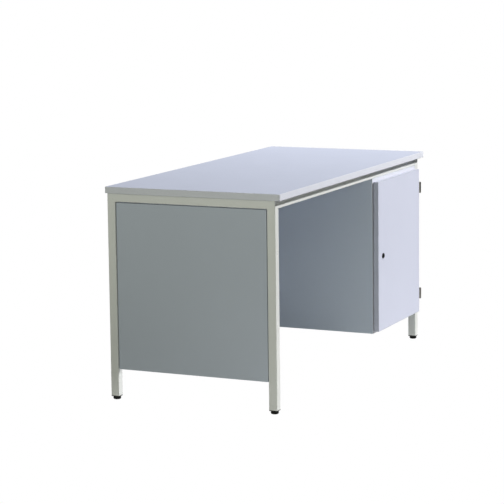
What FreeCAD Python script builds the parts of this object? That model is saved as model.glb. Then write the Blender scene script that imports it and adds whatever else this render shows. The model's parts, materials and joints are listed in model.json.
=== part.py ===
"""A teacher's desk: welded square-tube frame, laminated top, end and modesty panels, locking cupboard.

Row frame in millimetres: X runs along the desk, -Y is the teacher's side with the door, +Z is up, and the
origin is on the floor under the middle of the tabletop.
"""
import FreeCAD, Part
import os
import re

import Sketcher

Vector = FreeCAD.Vector
Rotation = FreeCAD.Rotation

SIZES = [
    ("desk_length", 1400, "length of the tabletop"),
    ("desk_depth", 650, "depth of the tabletop"),
    ("desk_height", 740, "floor to the top of the tabletop"),
    ("top_thickness", 22, "thickness of the tabletop"),
    ("band_thickness", 2, "edge band round the tabletop and the door"),
    ("top_corner", 5, "radius of the tabletop's corners in plan"),
    ("door_corner", 2.5, "radius of the door's corners"),
    ("edge_ease", 1, "rounding of the banded edges"),
    ("board_ease", 0.5, "rounding of the plain boards' edges"),
    ("tube_side", 30, "outside of the square tube"),
    ("tube_wall", 2, "wall of the square tube"),
    ("tube_corner", 3, "outer corner radius of the square tube"),
    ("end_overhang", 10, "tabletop past the frame at each end"),
    ("front_overhang", 21, "tabletop past the frame at the front"),
    ("rear_overhang", 4, "tabletop past the frame at the rear"),
    ("foot_height", 14, "floor to the lower end of a leg's tube"),
    ("foot_flange", 3, "thickness of the foot's square flange"),
    ("foot_radius", 13.5, "radius of the foot's round glide"),
    ("foot_round", 4, "rounding under the glide"),
    ("plug_depth", 22, "the foot's plug inside the tube"),
    ("plug_slack", 0.2, "room round that plug"),
    ("panel_thickness", 16, "end panels and modesty panel"),
    ("panel_gap", 3, "gap between a panel and the tubes round it"),
    ("panel_recess", 3, "panel's face behind the tubes' outer face"),
    ("under_height", 108, "floor to the lower edge of panels and cupboard"),
    ("cabinet_width", 460, "outside width of the cupboard"),
    ("cabinet_depth", 590, "outside depth of the cupboard"),
    ("cabinet_gap", 3, "cupboard to the right-hand legs"),
    ("board", 19, "thickness of the cupboard's boards"),
    ("board_band", 1, "edge band on the boards' front edges"),
    ("back_thickness", 8, "thickness of the cupboard's back"),
    ("back_inset", 6, "boards past the back at the rear"),
    ("groove_depth", 6, "depth of the groove that holds the back"),
    ("groove_slack", 0.4, "room for the back in its groove"),
    ("shelf_level", 463, "floor to the underside of the shelf"),
    ("shelf_setback", 25, "shelf's front edge behind the boards' edges"),
    ("shelf_gap", 1.5, "shelf to the cupboard's sides"),
    ("peg_radius", 2.5, "radius of a shelf peg"),
    ("peg_set", 9, "peg inside the board"),
    ("peg_reach", 8, "peg under the shelf"),
    ("peg_collar", 4, "radius of the peg's collar"),
    ("peg_pitch", 32, "pitch of the peg holes"),
    ("peg_margin", 60, "peg holes from the boards' front and rear edges"),
    ("dowel_radius", 4, "radius of a dowel"),
    ("dowel_side", 11, "dowel inside a side board"),
    ("dowel_end", 19, "dowel inside a top or bottom board"),
    ("hole_slack", 0.05, "room round a fastener or a peg in its hole"),
    ("door_thickness", 19, "thickness of the door"),
    ("reveal_left", 6, "cupboard's side past the door at the left"),
    ("reveal_top", 11.5, "rail's underside to the top of the door"),
    ("reveal_bottom", 7.5, "cupboard's lower edge to the bottom of the door"),
    ("hinge_height", 40, "length of a hinge's barrel"),
    ("hinge_inset", 72, "middle of a hinge from the end of the door"),
    ("knuckle_radius", 5.5, "outer radius of a hinge's barrel"),
    ("pin_radius", 3, "radius of a hinge pin"),
    ("pin_slack", 0.05, "room round the pin in the door's knuckle"),
    ("cap_radius", 4.6, "radius of a hinge pin's heads"),
    ("cap_height", 1.2, "height of a hinge pin's heads"),
    ("leaf", 2, "thickness of a hinge leaf"),
    ("leaf_reach", 55, "hinge axis to the rear edge of the fixed leaf"),
    ("knuckle_half", 6.4, "half the length of the door's knuckle"),
    ("knuckle_gap", 0.6, "gap between knuckles along the pin"),
    ("leaf_clear", 0.5, "gap from a leaf's edge to the other leaf's knuckle"),
    ("lock_inset", 47, "lock from the left edge of the door"),
    ("lock_rim", 10, "radius of the lock's rim"),
    ("lock_proud", 3, "lock's rim in front of the door"),
    ("lock_barrel", 8, "radius of the lock's barrel"),
    ("lock_depth", 28, "length of the barrel behind the door's face"),
    ("lock_plug", 6, "radius of the turning plug"),
    ("plug_sink", 0.5, "plug's face behind the rim's face"),
    ("cam_gap", 0.4, "barrel's end to the cam"),
    ("cam_thickness", 2.5, "thickness of the cam"),
    ("cam_half", 7, "half the width of the cam"),
    ("cam_reach", 30, "lock's axis to the tip of the cam"),
    ("nut_height", 4, "thickness of the lock's nut"),
    ("nut_corner", 12, "lock's axis to the nut's corners"),
    ("slot_width", 2.4, "width of the key slot"),
    ("slot_height", 8, "height of the key slot"),
    ("slot_depth", 9, "depth of the key slot"),
    ("strike_gap", 1.2, "strike to the cam that turns behind it"),
    ("strike_tongue", 16, "side board to the tip of the strike's tongue"),
    ("strike_half", 20, "half the height of the strike"),
    ("strike_plate", 38, "depth of the strike's plate on the side board"),
    ("sheet_metal", 2, "thickness of the strike"),
    ("screw_radius", 2, "radius of a wood screw's shank"),
    ("screw_head", 3.6, "radius of a wood screw's head"),
    ("head_depth", 1.6, "depth of a wood screw's head"),
    ("screw_point", 3, "length of a wood screw's point"),
    ("tab", 3, "thickness of a welded tab"),
    ("tab_width", 30, "width of a welded tab"),
    ("tab_reach", 25, "tube to the free end of a tab"),
    ("top_screw_inset", 15, "rail to the screw that holds the tabletop"),
    ("top_screw_length", 18, "length of that screw"),
    ("panel_screw_inset", 16, "leg to the screw that holds a panel"),
    ("panel_screw_length", 16, "length of that screw"),
    ("panel_tab_inset", 100, "tab's middle from a panel's upper or lower edge"),
    ("hinge_screw_pitch", 24, "pitch of a hinge leaf's two screws, and of the strike's"),
    ("fixed_screw_inset", 16, "cupboard's front edge to the fixed leaf's screws"),
    ("fixed_screw_length", 16, "length of the fixed leaf's screws"),
    ("door_screw_inset", 7, "door's inner face to the door leaf's screws"),
    ("door_screw_length", 18, "length of the door leaf's screws"),
    ("strike_screw_inset", 12, "strike's rear edge to its screws"),
    ("strike_screw_length", 14, "length of the strike's screws"),
    ("bolt_inset", 14, "tab's free or welded edge to the hanging bolt"),
    ("bolt_spread", 60, "cupboard's side boards to the hanging bolts"),
    ("bolt_radius", 3, "radius of a hanging bolt"),
    ("bolt_head", 5.5, "radius of a hanging bolt's head"),
    ("bolt_head_height", 4, "height of a hanging bolt's head"),
    ("bolt_nut", 5, "height of a hanging bolt's nut"),
    ("buffer_radius", 4, "radius of a door buffer"),
    ("buffer_height", 1.6, "thickness of a door buffer"),
    ("buffer_inset", 30, "buffer from the door's upper or lower edge"),
]
NAMES = {name for name, value, meaning in SIZES}

doc = FreeCAD.newDocument("teacher_desk")
sheet = doc.addObject("Spreadsheet::Sheet", "Sizes")
for row, (name, value, meaning) in enumerate(SIZES, 1):
    sheet.set(f"A{row}", meaning)
    sheet.set(f"B{row}", str(value))
    sheet.setAlias(f"B{row}", name)
doc.recompute()

# Places worked out from the sizes, as expressions in the sheet's own words.
FRAME_LEFT = "(-desk_length / 2 + end_overhang)"
FRAME_RIGHT = "(desk_length / 2 - end_overhang)"
FRAME_FRONT = "(-desk_depth / 2 + front_overhang)"
FRAME_REAR = "(desk_depth / 2 - rear_overhang)"
RAIL_TOP = "(desk_height - top_thickness)"
RAIL_BOTTOM = "(desk_height - top_thickness - tube_side)"
CABINET_RIGHT = f"({FRAME_RIGHT} - tube_side - cabinet_gap)"
CABINET_LEFT = f"({CABINET_RIGHT} - cabinet_width)"
CABINET_REAR = f"({FRAME_FRONT} + cabinet_depth)"
INNER_LEFT = f"({CABINET_LEFT} + board)"
INNER_RIGHT = f"({CABINET_RIGHT} - board)"
BACK_REAR = f"({CABINET_REAR} - back_inset)"
DOOR_FRONT = "(-desk_depth / 2)"
DOOR_BACK = f"({DOOR_FRONT} + door_thickness)"
DOOR_LEFT = f"({CABINET_LEFT} + reveal_left)"
DOOR_RIGHT = f"({CABINET_RIGHT} + leaf - 2 * knuckle_radius)"
DOOR_BOTTOM = "(under_height + reveal_bottom)"
DOOR_TOP = f"({RAIL_BOTTOM} - reveal_top)"
HINGE_X = f"({DOOR_RIGHT} + knuckle_radius)"
LOCK_X = f"({DOOR_LEFT} + lock_inset)"
LOCK_Z = f"(({DOOR_BOTTOM} + {DOOR_TOP}) / 2)"
CAM_FRONT = f"({DOOR_FRONT} + lock_depth + cam_gap)"

# How a piece is turned: what its own X, Y and Z become in the row frame.
UPRIGHT = Rotation()
ALONG_X = Rotation(Vector(0, 1, 0), 90)  # own Z to +X, own X to -Z
ALONG_Y = Rotation(Vector(1, 0, 0), -90)  # own Z to +Y, own Y to -Z
TO_FRONT = Rotation(Vector(1, 0, 0), 90)  # own Z to -Y, own Y to +Z
TO_RIGHT = Rotation(Vector(1, 1, 1), 120)  # own Z to +X, own X to +Y, own Y to +Z
TO_LEFT = Rotation(Vector(0, 1, 0), -90)  # own Z to -X, own X to +Z
DOWNWARD = Rotation(Vector(1, 0, 0), 180)  # own Z to -Z, own Y to -Y

parts = {}


def sized(expression):
    """The expression with each of the sheet's words looked up in the sheet."""
    return re.sub(r"[a-z_]+", lambda m: f"Sizes.{m.group()}" if m.group() in NAMES else m.group(), expression)


def bind(thing, **expressions):
    """Binds the thing's properties to the sheet."""
    for name, expression in expressions.items():
        thing.setExpression(name, sized(expression))
    return thing


def place(thing, at, turn=UPRIGHT):
    """Turns the thing and binds the place of its own origin to the sheet."""
    thing.Placement = FreeCAD.Placement(Vector(), turn)
    for axis, expression in zip("xyz", at):
        thing.setExpression(f"Placement.Base.{axis}", sized(expression))
    return thing


def part(node, thing):
    """Makes the thing the sub-part of that name."""
    thing.Label = node
    parts[node] = thing
    return thing


def box(name, size, at):
    """A plain box from its lowest corner."""
    made = bind(doc.addObject("Part::Box", name), Length=size[0], Width=size[1], Height=size[2])
    return place(made, at)


def round_bar(name, radius, length, at, turn=UPRIGHT):
    """A cylinder from the middle of its first end, along its own Z."""
    made = bind(doc.addObject("Part::Cylinder", name), Radius=radius, Height=length)
    return place(made, at, turn)


def hexagon(name, corner, height, at, turn=UPRIGHT):
    """A six-sided prism from the middle of its first end, along its own Z."""
    made = doc.addObject("Part::Prism", name)
    made.Polygon = 6
    return place(bind(made, Circumradius=corner, Height=height), at, turn)


def joined(name, pieces):
    """One solid from pieces that touch or overlap."""
    made = doc.addObject("Part::MultiFuse", name)
    made.Shapes = pieces
    made.Refine = True
    return made


def group(name, pieces):
    """Separate solids kept together."""
    made = doc.addObject("Part::Compound", name)
    made.Links = pieces
    return made


def cut(name, base, tools):
    """The base with the tools taken out of it."""
    made = doc.addObject("Part::Cut", name)
    made.Base = base
    made.Tool = tools[0] if len(tools) == 1 else group(name + "_tools", tools)
    return made


def flat_sketch(body, name):
    """An empty sketch on the body's XY plane."""
    sketch = body.newObject("Sketcher::SketchObject", name)
    plane = [feature for feature in body.Origin.OriginFeatures if feature.Role == "XY_Plane"][0]
    sketch.AttachmentSupport = [(plane, "")]
    sketch.MapMode = "FlatFace"
    return sketch


def rectangle(body, name, across, along, margin="0"):
    """A sketched rectangle on the body's XY plane, that far from its origin on both axes."""
    sketch = flat_sketch(body, name)
    corners = [Vector(1, 1, 0), Vector(9, 1, 0), Vector(9, 9, 0), Vector(1, 9, 0)]
    for i in range(4):
        sketch.addGeometry(Part.LineSegment(corners[i], corners[(i + 1) % 4]), False)
    for i in range(4):
        sketch.addConstraint(Sketcher.Constraint("Coincident", i, 2, (i + 1) % 4, 1))
    for i in (0, 2):
        sketch.addConstraint(Sketcher.Constraint("Horizontal", i))
        sketch.addConstraint(Sketcher.Constraint("Vertical", i + 1))
    spans = [("across", "DistanceX", (0, 1, 0, 2), across), ("along", "DistanceY", (1, 1, 1, 2), along)]
    if margin == "0":
        sketch.addConstraint(Sketcher.Constraint("Coincident", 0, 1, -1, 1))
    else:
        spans += [("left", "DistanceX", (-1, 1, 0, 1), margin), ("low", "DistanceY", (-1, 1, 0, 1), margin)]
    for label, kind, ends, expression in spans:
        index = sketch.addConstraint(Sketcher.Constraint(kind, *ends, 5))
        sketch.renameConstraint(index, label)
        sketch.setExpression(f"Constraints.{label}", sized(expression))
    return sketch


def is_vertical(edge):
    ends = [v.Point for v in edge.Vertexes]
    return len(ends) == 2 and abs(ends[0].x - ends[1].x) + abs(ends[0].y - ends[1].y) < 1e-6


def is_on_floor(edge):
    return all(abs(v.Z) < 1e-6 for v in edge.Vertexes)


def eased(body, feature, name, radius, wanted):
    """Rounds the feature's wanted edges."""
    doc.recompute()
    edges = [f"Edge{i}" for i, edge in enumerate(feature.Shape.Edges, 1) if wanted(edge)]
    fillet = body.newObject("PartDesign::Fillet", name)
    fillet.Base = (feature, edges)
    return bind(fillet, Radius=radius)


def slab(name, size, at, turn=UPRIGHT, corner=None, ease=None):
    """A board: a rectangle padded along its own Z, with its corners and then its other edges rounded."""
    body = doc.addObject("PartDesign::Body", name)
    last = body.newObject("PartDesign::Pad", name + "_pad")
    last.Profile = rectangle(body, name + "_outline", size[0], size[1])
    bind(last, Length=size[2])
    if corner:
        last = eased(body, last, name + "_corners", corner, is_vertical)
    if ease:
        wanted = (lambda edge: not is_vertical(edge)) if corner else (lambda edge: True)
        last = eased(body, last, name + "_edges", ease, wanted)
    return place(body, at, turn)


def tube(name, length, at, turn=UPRIGHT):
    """Square tube along its own Z, from one outer corner."""
    body = doc.addObject("PartDesign::Body", name)
    pad = body.newObject("PartDesign::Pad", name + "_pad")
    pad.Profile = rectangle(body, name + "_outside", "tube_side", "tube_side")
    bind(pad, Length=length)
    eased(body, pad, name + "_corners", "tube_corner", is_vertical)
    clear = "tube_side - 2 * tube_wall"
    inside = rectangle(body, name + "_inside", clear, clear, "tube_wall")
    pocket = body.newObject("PartDesign::Pocket", name + "_bore")
    pocket.Profile = inside
    pocket.Type = "ThroughAll"
    pocket.Reversed = True
    return place(body, at, turn)


def screw(name, length, at, turn, slack="0", countersunk=True):
    """A screw, or with slack its hole: the head's outer face is at its own origin and faces its own Z."""
    shank = place(
        bind(
            doc.addObject("Part::Cylinder", name + "_shank"),
            Radius=f"screw_radius + {slack}",
            Height=f"{length} - screw_point",
        ),
        ("0", "0", f"screw_point - {length}"),
    )
    point = place(
        bind(
            doc.addObject("Part::Cone", name + "_point"),
            Radius1=f"screw_radius / 5 + {slack}",
            Radius2=f"screw_radius + {slack}",
            Height="screw_point",
        ),
        ("0", "0", f"-{length}"),
    )
    head = place(
        bind(
            doc.addObject("Part::Cone", name + "_head"),
            Radius1=f"screw_radius + {slack}" if countersunk else f"screw_head + {slack}",
            Radius2=f"screw_head + {slack}",
            Height="head_depth",
        ),
        ("0", "0", "-head_depth"),
    )
    return place(joined(name, [shank, point, head]), at, turn)


def screws(node, length, places, countersunk=True):
    """A node of like screws, each (place, turn). Returns the holes that they need."""
    made = []
    holes = []
    for i, (at, turn) in enumerate(places, 1):
        made.append(screw(f"{node}_{i}", length, at, turn, "0", countersunk))
        holes.append(screw(f"{node}_hole_{i}", length, at, turn, "hole_slack", countersunk))
    part(node, group(node, made))
    return holes


def banded(name, size, at, turn, corner):
    """A board and the edge band glued round it, each undrilled. Sizes are over the band."""
    core_size = (f"{size[0]} - 2 * band_thickness", f"{size[1]} - 2 * band_thickness", size[2])
    inward = turn.multVec(Vector(1, 1, 0))
    core_at = [f"{start} + {step:.0f} * band_thickness" for start, step in zip(at, inward)]
    core = slab(name + "_core", core_size, core_at, turn, f"{corner} - band_thickness")
    blank = slab(name + "_blank", size, at, turn, corner, "edge_ease")
    return core, cut(name + "_band", blank, [core])


def tabletop(holes):
    """The laminated board and its edge band, drilled from below for its screws."""
    size = ("desk_length", "desk_depth", "top_thickness")
    at = ("-desk_length / 2", "-desk_depth / 2", RAIL_TOP)
    core, band = banded("tabletop", size, at, UPRIGHT, "top_corner")
    part("tabletop_board", cut("tabletop_board", core, holes))
    part("tabletop_edge_band", band)


def frame():
    """Four legs, and four rails between them under the tabletop."""
    length = f"{RAIL_TOP} - foot_height"
    for side, x in (("left", FRAME_LEFT), ("right", f"({FRAME_RIGHT} - tube_side)")):
        for end, y in (("front", FRAME_FRONT), ("rear", f"({FRAME_REAR} - tube_side)")):
            part(f"leg_{end}_{side}", tube(f"leg_{end}_{side}", length, (x, y, "foot_height")))
            foot(f"foot_{end}_{side}", x, y)
    long_span = "desk_length - 2 * end_overhang - 2 * tube_side"
    short_span = "desk_depth - front_overhang - rear_overhang - 2 * tube_side"
    start_x = f"{FRAME_LEFT} + tube_side"
    start_y = f"{FRAME_FRONT} + tube_side"
    for end, y in (("front", FRAME_FRONT), ("rear", f"{FRAME_REAR} - tube_side")):
        part(f"rail_{end}", tube(f"rail_{end}", long_span, (start_x, y, RAIL_TOP), ALONG_X))
    for side, x in (("left", FRAME_LEFT), ("right", f"{FRAME_RIGHT} - tube_side")):
        part(f"rail_{side}", tube(f"rail_{side}", short_span, (x, start_y, RAIL_TOP), ALONG_Y))


def foot(node, x, y):
    """A push-in foot: plug inside the tube, square flange under it, round glide on the floor."""
    middle = (f"{x} + tube_side / 2", f"{y} + tube_side / 2")
    body = doc.addObject("PartDesign::Body", node + "_glide")
    sketch = flat_sketch(body, node + "_circle")
    sketch.addGeometry(Part.Circle(Vector(), Vector(0, 0, 1), 10), False)
    sketch.addConstraint(Sketcher.Constraint("Coincident", 0, 3, -1, 1))
    sketch.renameConstraint(sketch.addConstraint(Sketcher.Constraint("Radius", 0, 10)), "round")
    bind(sketch, **{"Constraints.round": "foot_radius"})
    pad = body.newObject("PartDesign::Pad", node + "_pad")
    pad.Profile = sketch
    bind(pad, Length="foot_height - foot_flange")
    eased(body, pad, node + "_under", "foot_round", is_on_floor)
    place(body, (*middle, "0"))
    flange_size = ("tube_side", "tube_side", "foot_flange")
    flange = slab(node + "_flange", flange_size, (x, y, "foot_height - foot_flange"), corner="tube_corner")
    inset = "tube_wall + plug_slack"
    side = f"tube_side - 2 * ({inset})"
    plug_at = (f"{x} + {inset}", f"{y} + {inset}", "foot_height")
    plug = box(node + "_plug", (side, side, "plug_depth"), plug_at)
    part(node, joined(node, [body, flange, plug]))


def panels():
    """The two end panels and the modesty panel, each held by four welded tabs and four screws."""
    height = f"{RAIL_BOTTOM} - panel_gap - under_height"
    depth = "desk_depth - front_overhang - rear_overhang - 2 * tube_side - 2 * panel_gap"
    length = "desk_length - 2 * end_overhang - 2 * tube_side - 2 * panel_gap"
    levels = ("under_height + panel_tab_inset", f"{RAIL_BOTTOM} - panel_tab_inset")
    front = f"({FRAME_FRONT} + tube_side)"
    rear = f"({FRAME_REAR} - tube_side)"
    left = f"({FRAME_LEFT} + tube_side)"
    right = f"({FRAME_RIGHT} - tube_side)"
    inner_left = f"({FRAME_LEFT} + panel_recess + panel_thickness)"
    inner_right = f"({FRAME_RIGHT} - panel_recess - panel_thickness)"
    inner_rear = f"({FRAME_REAR} - panel_recess - panel_thickness)"
    tabs = []
    fixings = {"left": [], "right": [], "rear": []}
    for i, level in enumerate(levels):
        low = f"{level} - tab_width / 2"
        inset = "panel_screw_inset"
        rows = ((front, f"{front} + {inset}"), (f"{rear} - tab_reach", f"{rear} - {inset}"))
        for j, (edge, hole) in enumerate(rows):
            size = ("tab", "tab_reach", "tab_width")
            tabs.append(box(f"tab_left_{i}{j}", size, (inner_left, edge, low)))
            tabs.append(box(f"tab_right_{i}{j}", size, (f"{inner_right} - tab", edge, low)))
            fixings["left"].append(((f"{inner_left} + tab + head_depth", hole, level), ALONG_X))
            fixings["right"].append(((f"{inner_right} - tab - head_depth", hole, level), TO_LEFT))
        rows = ((left, f"{left} + {inset}"), (f"{right} - tab_reach", f"{right} - {inset}"))
        for j, (edge, hole) in enumerate(rows):
            size = ("tab_reach", "tab", "tab_width")
            tabs.append(box(f"tab_rear_{i}{j}", size, (edge, f"{inner_rear} - tab", low)))
            fixings["rear"].append(((hole, f"{inner_rear} - tab - head_depth", level), TO_FRONT))
    holes = screws("panel_screws", "panel_screw_length", sum(fixings.values(), []), countersunk=False)
    part("panel_tabs", cut("panel_tabs", group("panel_tab_blanks", tabs), holes))
    end_size = (depth, height, "panel_thickness")
    rear_size = (length, height, "panel_thickness")
    left_at = (f"{FRAME_LEFT} + panel_recess", f"{front} + panel_gap", "under_height")
    right_at = (inner_right, f"{front} + panel_gap", "under_height")
    rear_at = (f"{left} + panel_gap", f"{inner_rear} + panel_thickness", "under_height")
    rows = (
        ("left_end_panel", end_size, left_at, TO_RIGHT, holes[:4]),
        ("right_end_panel", end_size, right_at, TO_RIGHT, holes[4:8]),
        ("modesty_panel", rear_size, rear_at, TO_FRONT, holes[8:]),
    )
    for node, size, at, turn, own_holes in rows:
        part(node, cut(node, slab(node + "_blank", size, at, turn, ease="board_ease"), own_holes))


def top_fixings():
    """Tabs welded inside the rails, and the screws up through them into the tabletop. Returns the holes."""
    front = f"({FRAME_FRONT} + tube_side)"
    rear = f"({FRAME_REAR} - tube_side)"
    left = f"({FRAME_LEFT} + tube_side)"
    right = f"({FRAME_RIGHT} - tube_side)"
    low = f"{RAIL_TOP} - tab"
    reach = "tab_reach + tube_wall"
    tabs = []
    places = []
    for i, x in enumerate(("-desk_length * 3 / 7", "0", "desk_length * 3 / 7")):
        rows = (
            ("front", f"{front} - tube_wall", f"{front} + top_screw_inset"),
            ("rear", f"{rear} - tab_reach", f"{rear} - top_screw_inset"),
        )
        for end, y, hole in rows:
            size = ("tab_width", reach, "tab")
            tabs.append(box(f"top_tab_{end}_{i}", size, (f"{x} - tab_width / 2", y, low)))
            places.append(((x, hole, f"{low} - head_depth"), DOWNWARD))
    rows = (
        ("left", f"{left} - tube_wall", f"{left} + top_screw_inset"),
        ("right", f"{right} - tab_reach", f"{right} - top_screw_inset"),
    )
    for side, x, hole in rows:
        tabs.append(box(f"top_tab_{side}", (reach, "tab_width", "tab"), (x, "-tab_width / 2", low)))
        places.append(((hole, "0", f"{low} - head_depth"), DOWNWARD))
    holes = screws("top_screws", "top_screw_length", places, countersunk=False)
    rails = [parts[f"rail_{side}"] for side in ("front", "rear", "left", "right")]
    part("top_tabs", cut("top_tabs", group("top_tab_blanks", tabs), holes + rails))
    return holes


def hangers():
    """The cupboard hangs from four tabs by bolts through its top board. Returns the bolts' holes."""
    front = f"({FRAME_FRONT} + tube_side)"
    rear = f"({FRAME_REAR} - tube_side)"
    rear_reach = "(tab_reach * 2)"
    tabs = []
    bolts = []
    nuts = []
    holes = []
    for i, x in enumerate((f"({INNER_LEFT} + bolt_spread)", f"({INNER_RIGHT} - bolt_spread)")):
        rows = (
            ("front", f"{front} - tube_wall", "tab_reach", f"{front} + bolt_inset"),
            ("rear", f"{rear} - {rear_reach}", rear_reach, f"{rear} - {rear_reach} + bolt_inset"),
        )
        for end, y, reach, bolt_y in rows:
            size = ("tab_width", f"{reach} + tube_wall", "tab")
            tabs.append(box(f"hanger_{end}_{i}", size, (f"{x} - tab_width / 2", y, RAIL_BOTTOM)))
            under = f"{RAIL_BOTTOM} - board"
            head_at = (x, bolt_y, f"{under} - bolt_head_height")
            head = hexagon(f"bolt_head_{end}_{i}", "bolt_head", "bolt_head_height", head_at)
            length = "board + tab + bolt_nut + 2"
            shank = round_bar(f"bolt_shank_{end}_{i}", "bolt_radius", length, (x, bolt_y, under))
            bolts.append(joined(f"bolt_{end}_{i}", [head, shank]))
            nut_at = (x, bolt_y, f"{RAIL_BOTTOM} + tab")
            nut = hexagon(f"nut_blank_{end}_{i}", "bolt_head", "bolt_nut", nut_at)
            hole_at = (x, bolt_y, f"{under} - 2")
            hole = round_bar(f"bolt_hole_{end}_{i}", "bolt_radius + hole_slack", f"{length} + 4", hole_at)
            nuts.append(cut(f"nut_{end}_{i}", nut, [hole]))
            holes.append(hole)
    part("hanger_bolts", group("hanger_bolts", bolts))
    part("hanger_nuts", group("hanger_nuts", nuts))
    rails = [parts["rail_front"], parts["rail_rear"]]
    part("hanger_tabs", cut("hanger_tabs", group("hanger_tab_blanks", tabs), holes + rails))
    return holes


def peg_holes():
    """Two columns of peg holes in each side board, either side of the shelf's level."""
    holes = []
    columns = (f"{FRAME_FRONT} + peg_margin", f"{CABINET_REAR} - peg_margin")
    for side, x in (("left", f"{INNER_LEFT} - peg_set - 1"), ("right", f"{INNER_RIGHT} - 1")):
        for i, y in enumerate(columns):
            for step in (-2, -1, 0, 1, 2):
                z = f"shelf_level - peg_radius + {step} * peg_pitch"
                name = f"peg_hole_{side}_{i}_{step + 2}"
                holes.append(round_bar(name, "peg_radius + hole_slack", "peg_set + 2", (x, y, z), ALONG_X))
    return holes[:10], holes[10:]


def dowels():
    """Dowels between the side boards and the top and bottom boards. Returns their holes, left and right."""
    made = []
    holes = {"left": [], "right": []}
    starts = {"left": f"{INNER_LEFT} - dowel_side", "right": f"{INNER_RIGHT} - dowel_end"}
    rows = (f"{FRAME_FRONT} + 50", f"{FRAME_FRONT} + cabinet_depth / 2", f"{CABINET_REAR} - 50")
    for side, x in starts.items():
        for level, z in (("low", "under_height + board / 2"), ("high", f"{RAIL_BOTTOM} - board / 2")):
            for i, y in enumerate(rows):
                name = f"dowel_{side}_{level}_{i}"
                made.append(round_bar(name, "dowel_radius", "dowel_side + dowel_end", (x, y, z), ALONG_X))
                hole_at = (f"{x} - hole_slack", y, z)
                length = "dowel_side + dowel_end + 2 * hole_slack"
                hole = round_bar(name + "_hole", "dowel_radius + hole_slack", length, hole_at, ALONG_X)
                holes[side].append(hole)
    part("cabinet_dowels", group("cabinet_dowels", made))
    return holes


def cabinet(bolt_holes, hinge_holes, strike_holes):
    """The cupboard's five boards, its back in their grooves, and their front edge bands."""
    pegs_left, pegs_right = peg_holes()
    dowel_holes = dowels()
    start = f"{FRAME_FRONT} + board_band"
    deep = "cabinet_depth - board_band"
    tall = f"{RAIL_BOTTOM} - under_height"
    between = "cabinet_width - 2 * board"
    inside_low = "under_height + board"
    inside_tall = f"({tall} - 2 * board)"
    thick = "(back_thickness + groove_slack)"
    wide = f"{between} + 2 * groove_depth"
    groove_at = (f"{INNER_LEFT} - groove_depth", f"{BACK_REAR} - {thick}", f"{inside_low} - groove_depth")
    groove = box("back_groove", (wide, thick, f"{inside_tall} + 2 * groove_depth"), groove_at)
    boards = [
        ("cabinet_side_left", ("board", deep, tall), (CABINET_LEFT, start, "under_height"),
         pegs_left + dowel_holes["left"] + strike_holes),
        ("cabinet_side_right", ("board", deep, tall), (INNER_RIGHT, start, "under_height"),
         pegs_right + dowel_holes["right"] + hinge_holes),
        ("cabinet_bottom", (between, deep, "board"), (INNER_LEFT, start, "under_height"),
         dowel_holes["left"] + dowel_holes["right"]),
        ("cabinet_top", (between, deep, "board"), (INNER_LEFT, start, f"{RAIL_BOTTOM} - board"),
         dowel_holes["left"] + dowel_holes["right"] + bolt_holes),
    ]
    for node, size, at, holes in boards:
        part(node, cut(node, box(node + "_blank", size, at), [groove] + holes))
    lap = "(groove_depth - groove_slack)"
    back_size = (f"{between} + 2 * {lap}", "back_thickness", f"{inside_tall} + 2 * {lap}")
    back_front = f"{BACK_REAR} - back_thickness - groove_slack / 2"
    back_at = (f"{INNER_LEFT} - {lap}", back_front, f"{inside_low} - {lap}")
    part("cabinet_back", box("cabinet_back", back_size, back_at))
    upright = ("board", "board_band", tall)
    level = (between, "board_band", "board")
    bands = [
        box("band_left", upright, (CABINET_LEFT, FRAME_FRONT, "under_height")),
        box("band_right", upright, (INNER_RIGHT, FRAME_FRONT, "under_height")),
        box("band_bottom", level, (INNER_LEFT, FRAME_FRONT, "under_height")),
        box("band_top", level, (INNER_LEFT, FRAME_FRONT, f"{RAIL_BOTTOM} - board")),
    ]
    part("cabinet_edge_bands", group("cabinet_edge_bands", bands))


def shelf():
    """The loose shelf, its front band and the four pegs that it lies on."""
    front = f"{FRAME_FRONT} + shelf_setback"
    wide = "cabinet_width - 2 * board - 2 * shelf_gap"
    deep = "cabinet_depth - shelf_setback - back_inset - back_thickness - 4"
    at = (f"{INNER_LEFT} + shelf_gap", f"{front} + board_band", "shelf_level")
    part("shelf", slab("shelf", (wide, f"{deep} - board_band", "board"), at))
    band_at = (f"{INNER_LEFT} + shelf_gap", front, "shelf_level")
    part("shelf_edge_band", box("shelf_edge_band", (wide, "board_band", "board"), band_at))
    pegs = []
    level = "shelf_level - peg_radius"
    for i, y in enumerate((f"{FRAME_FRONT} + peg_margin", f"{CABINET_REAR} - peg_margin")):
        for side, face, turn in (("left", INNER_LEFT, ALONG_X), ("right", INNER_RIGHT, TO_LEFT)):
            away = "-" if side == "left" else "+"
            bar_at = (f"{face} {away} peg_set", y, level)
            bar = round_bar(f"peg_bar_{side}_{i}", "peg_radius", "peg_set + peg_reach", bar_at, turn)
            collar = round_bar(f"peg_collar_{side}_{i}", "peg_collar", "1", (face, y, level), turn)
            pegs.append(joined(f"peg_{side}_{i}", [bar, collar]))
    part("shelf_pegs", group("shelf_pegs", pegs))


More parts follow.
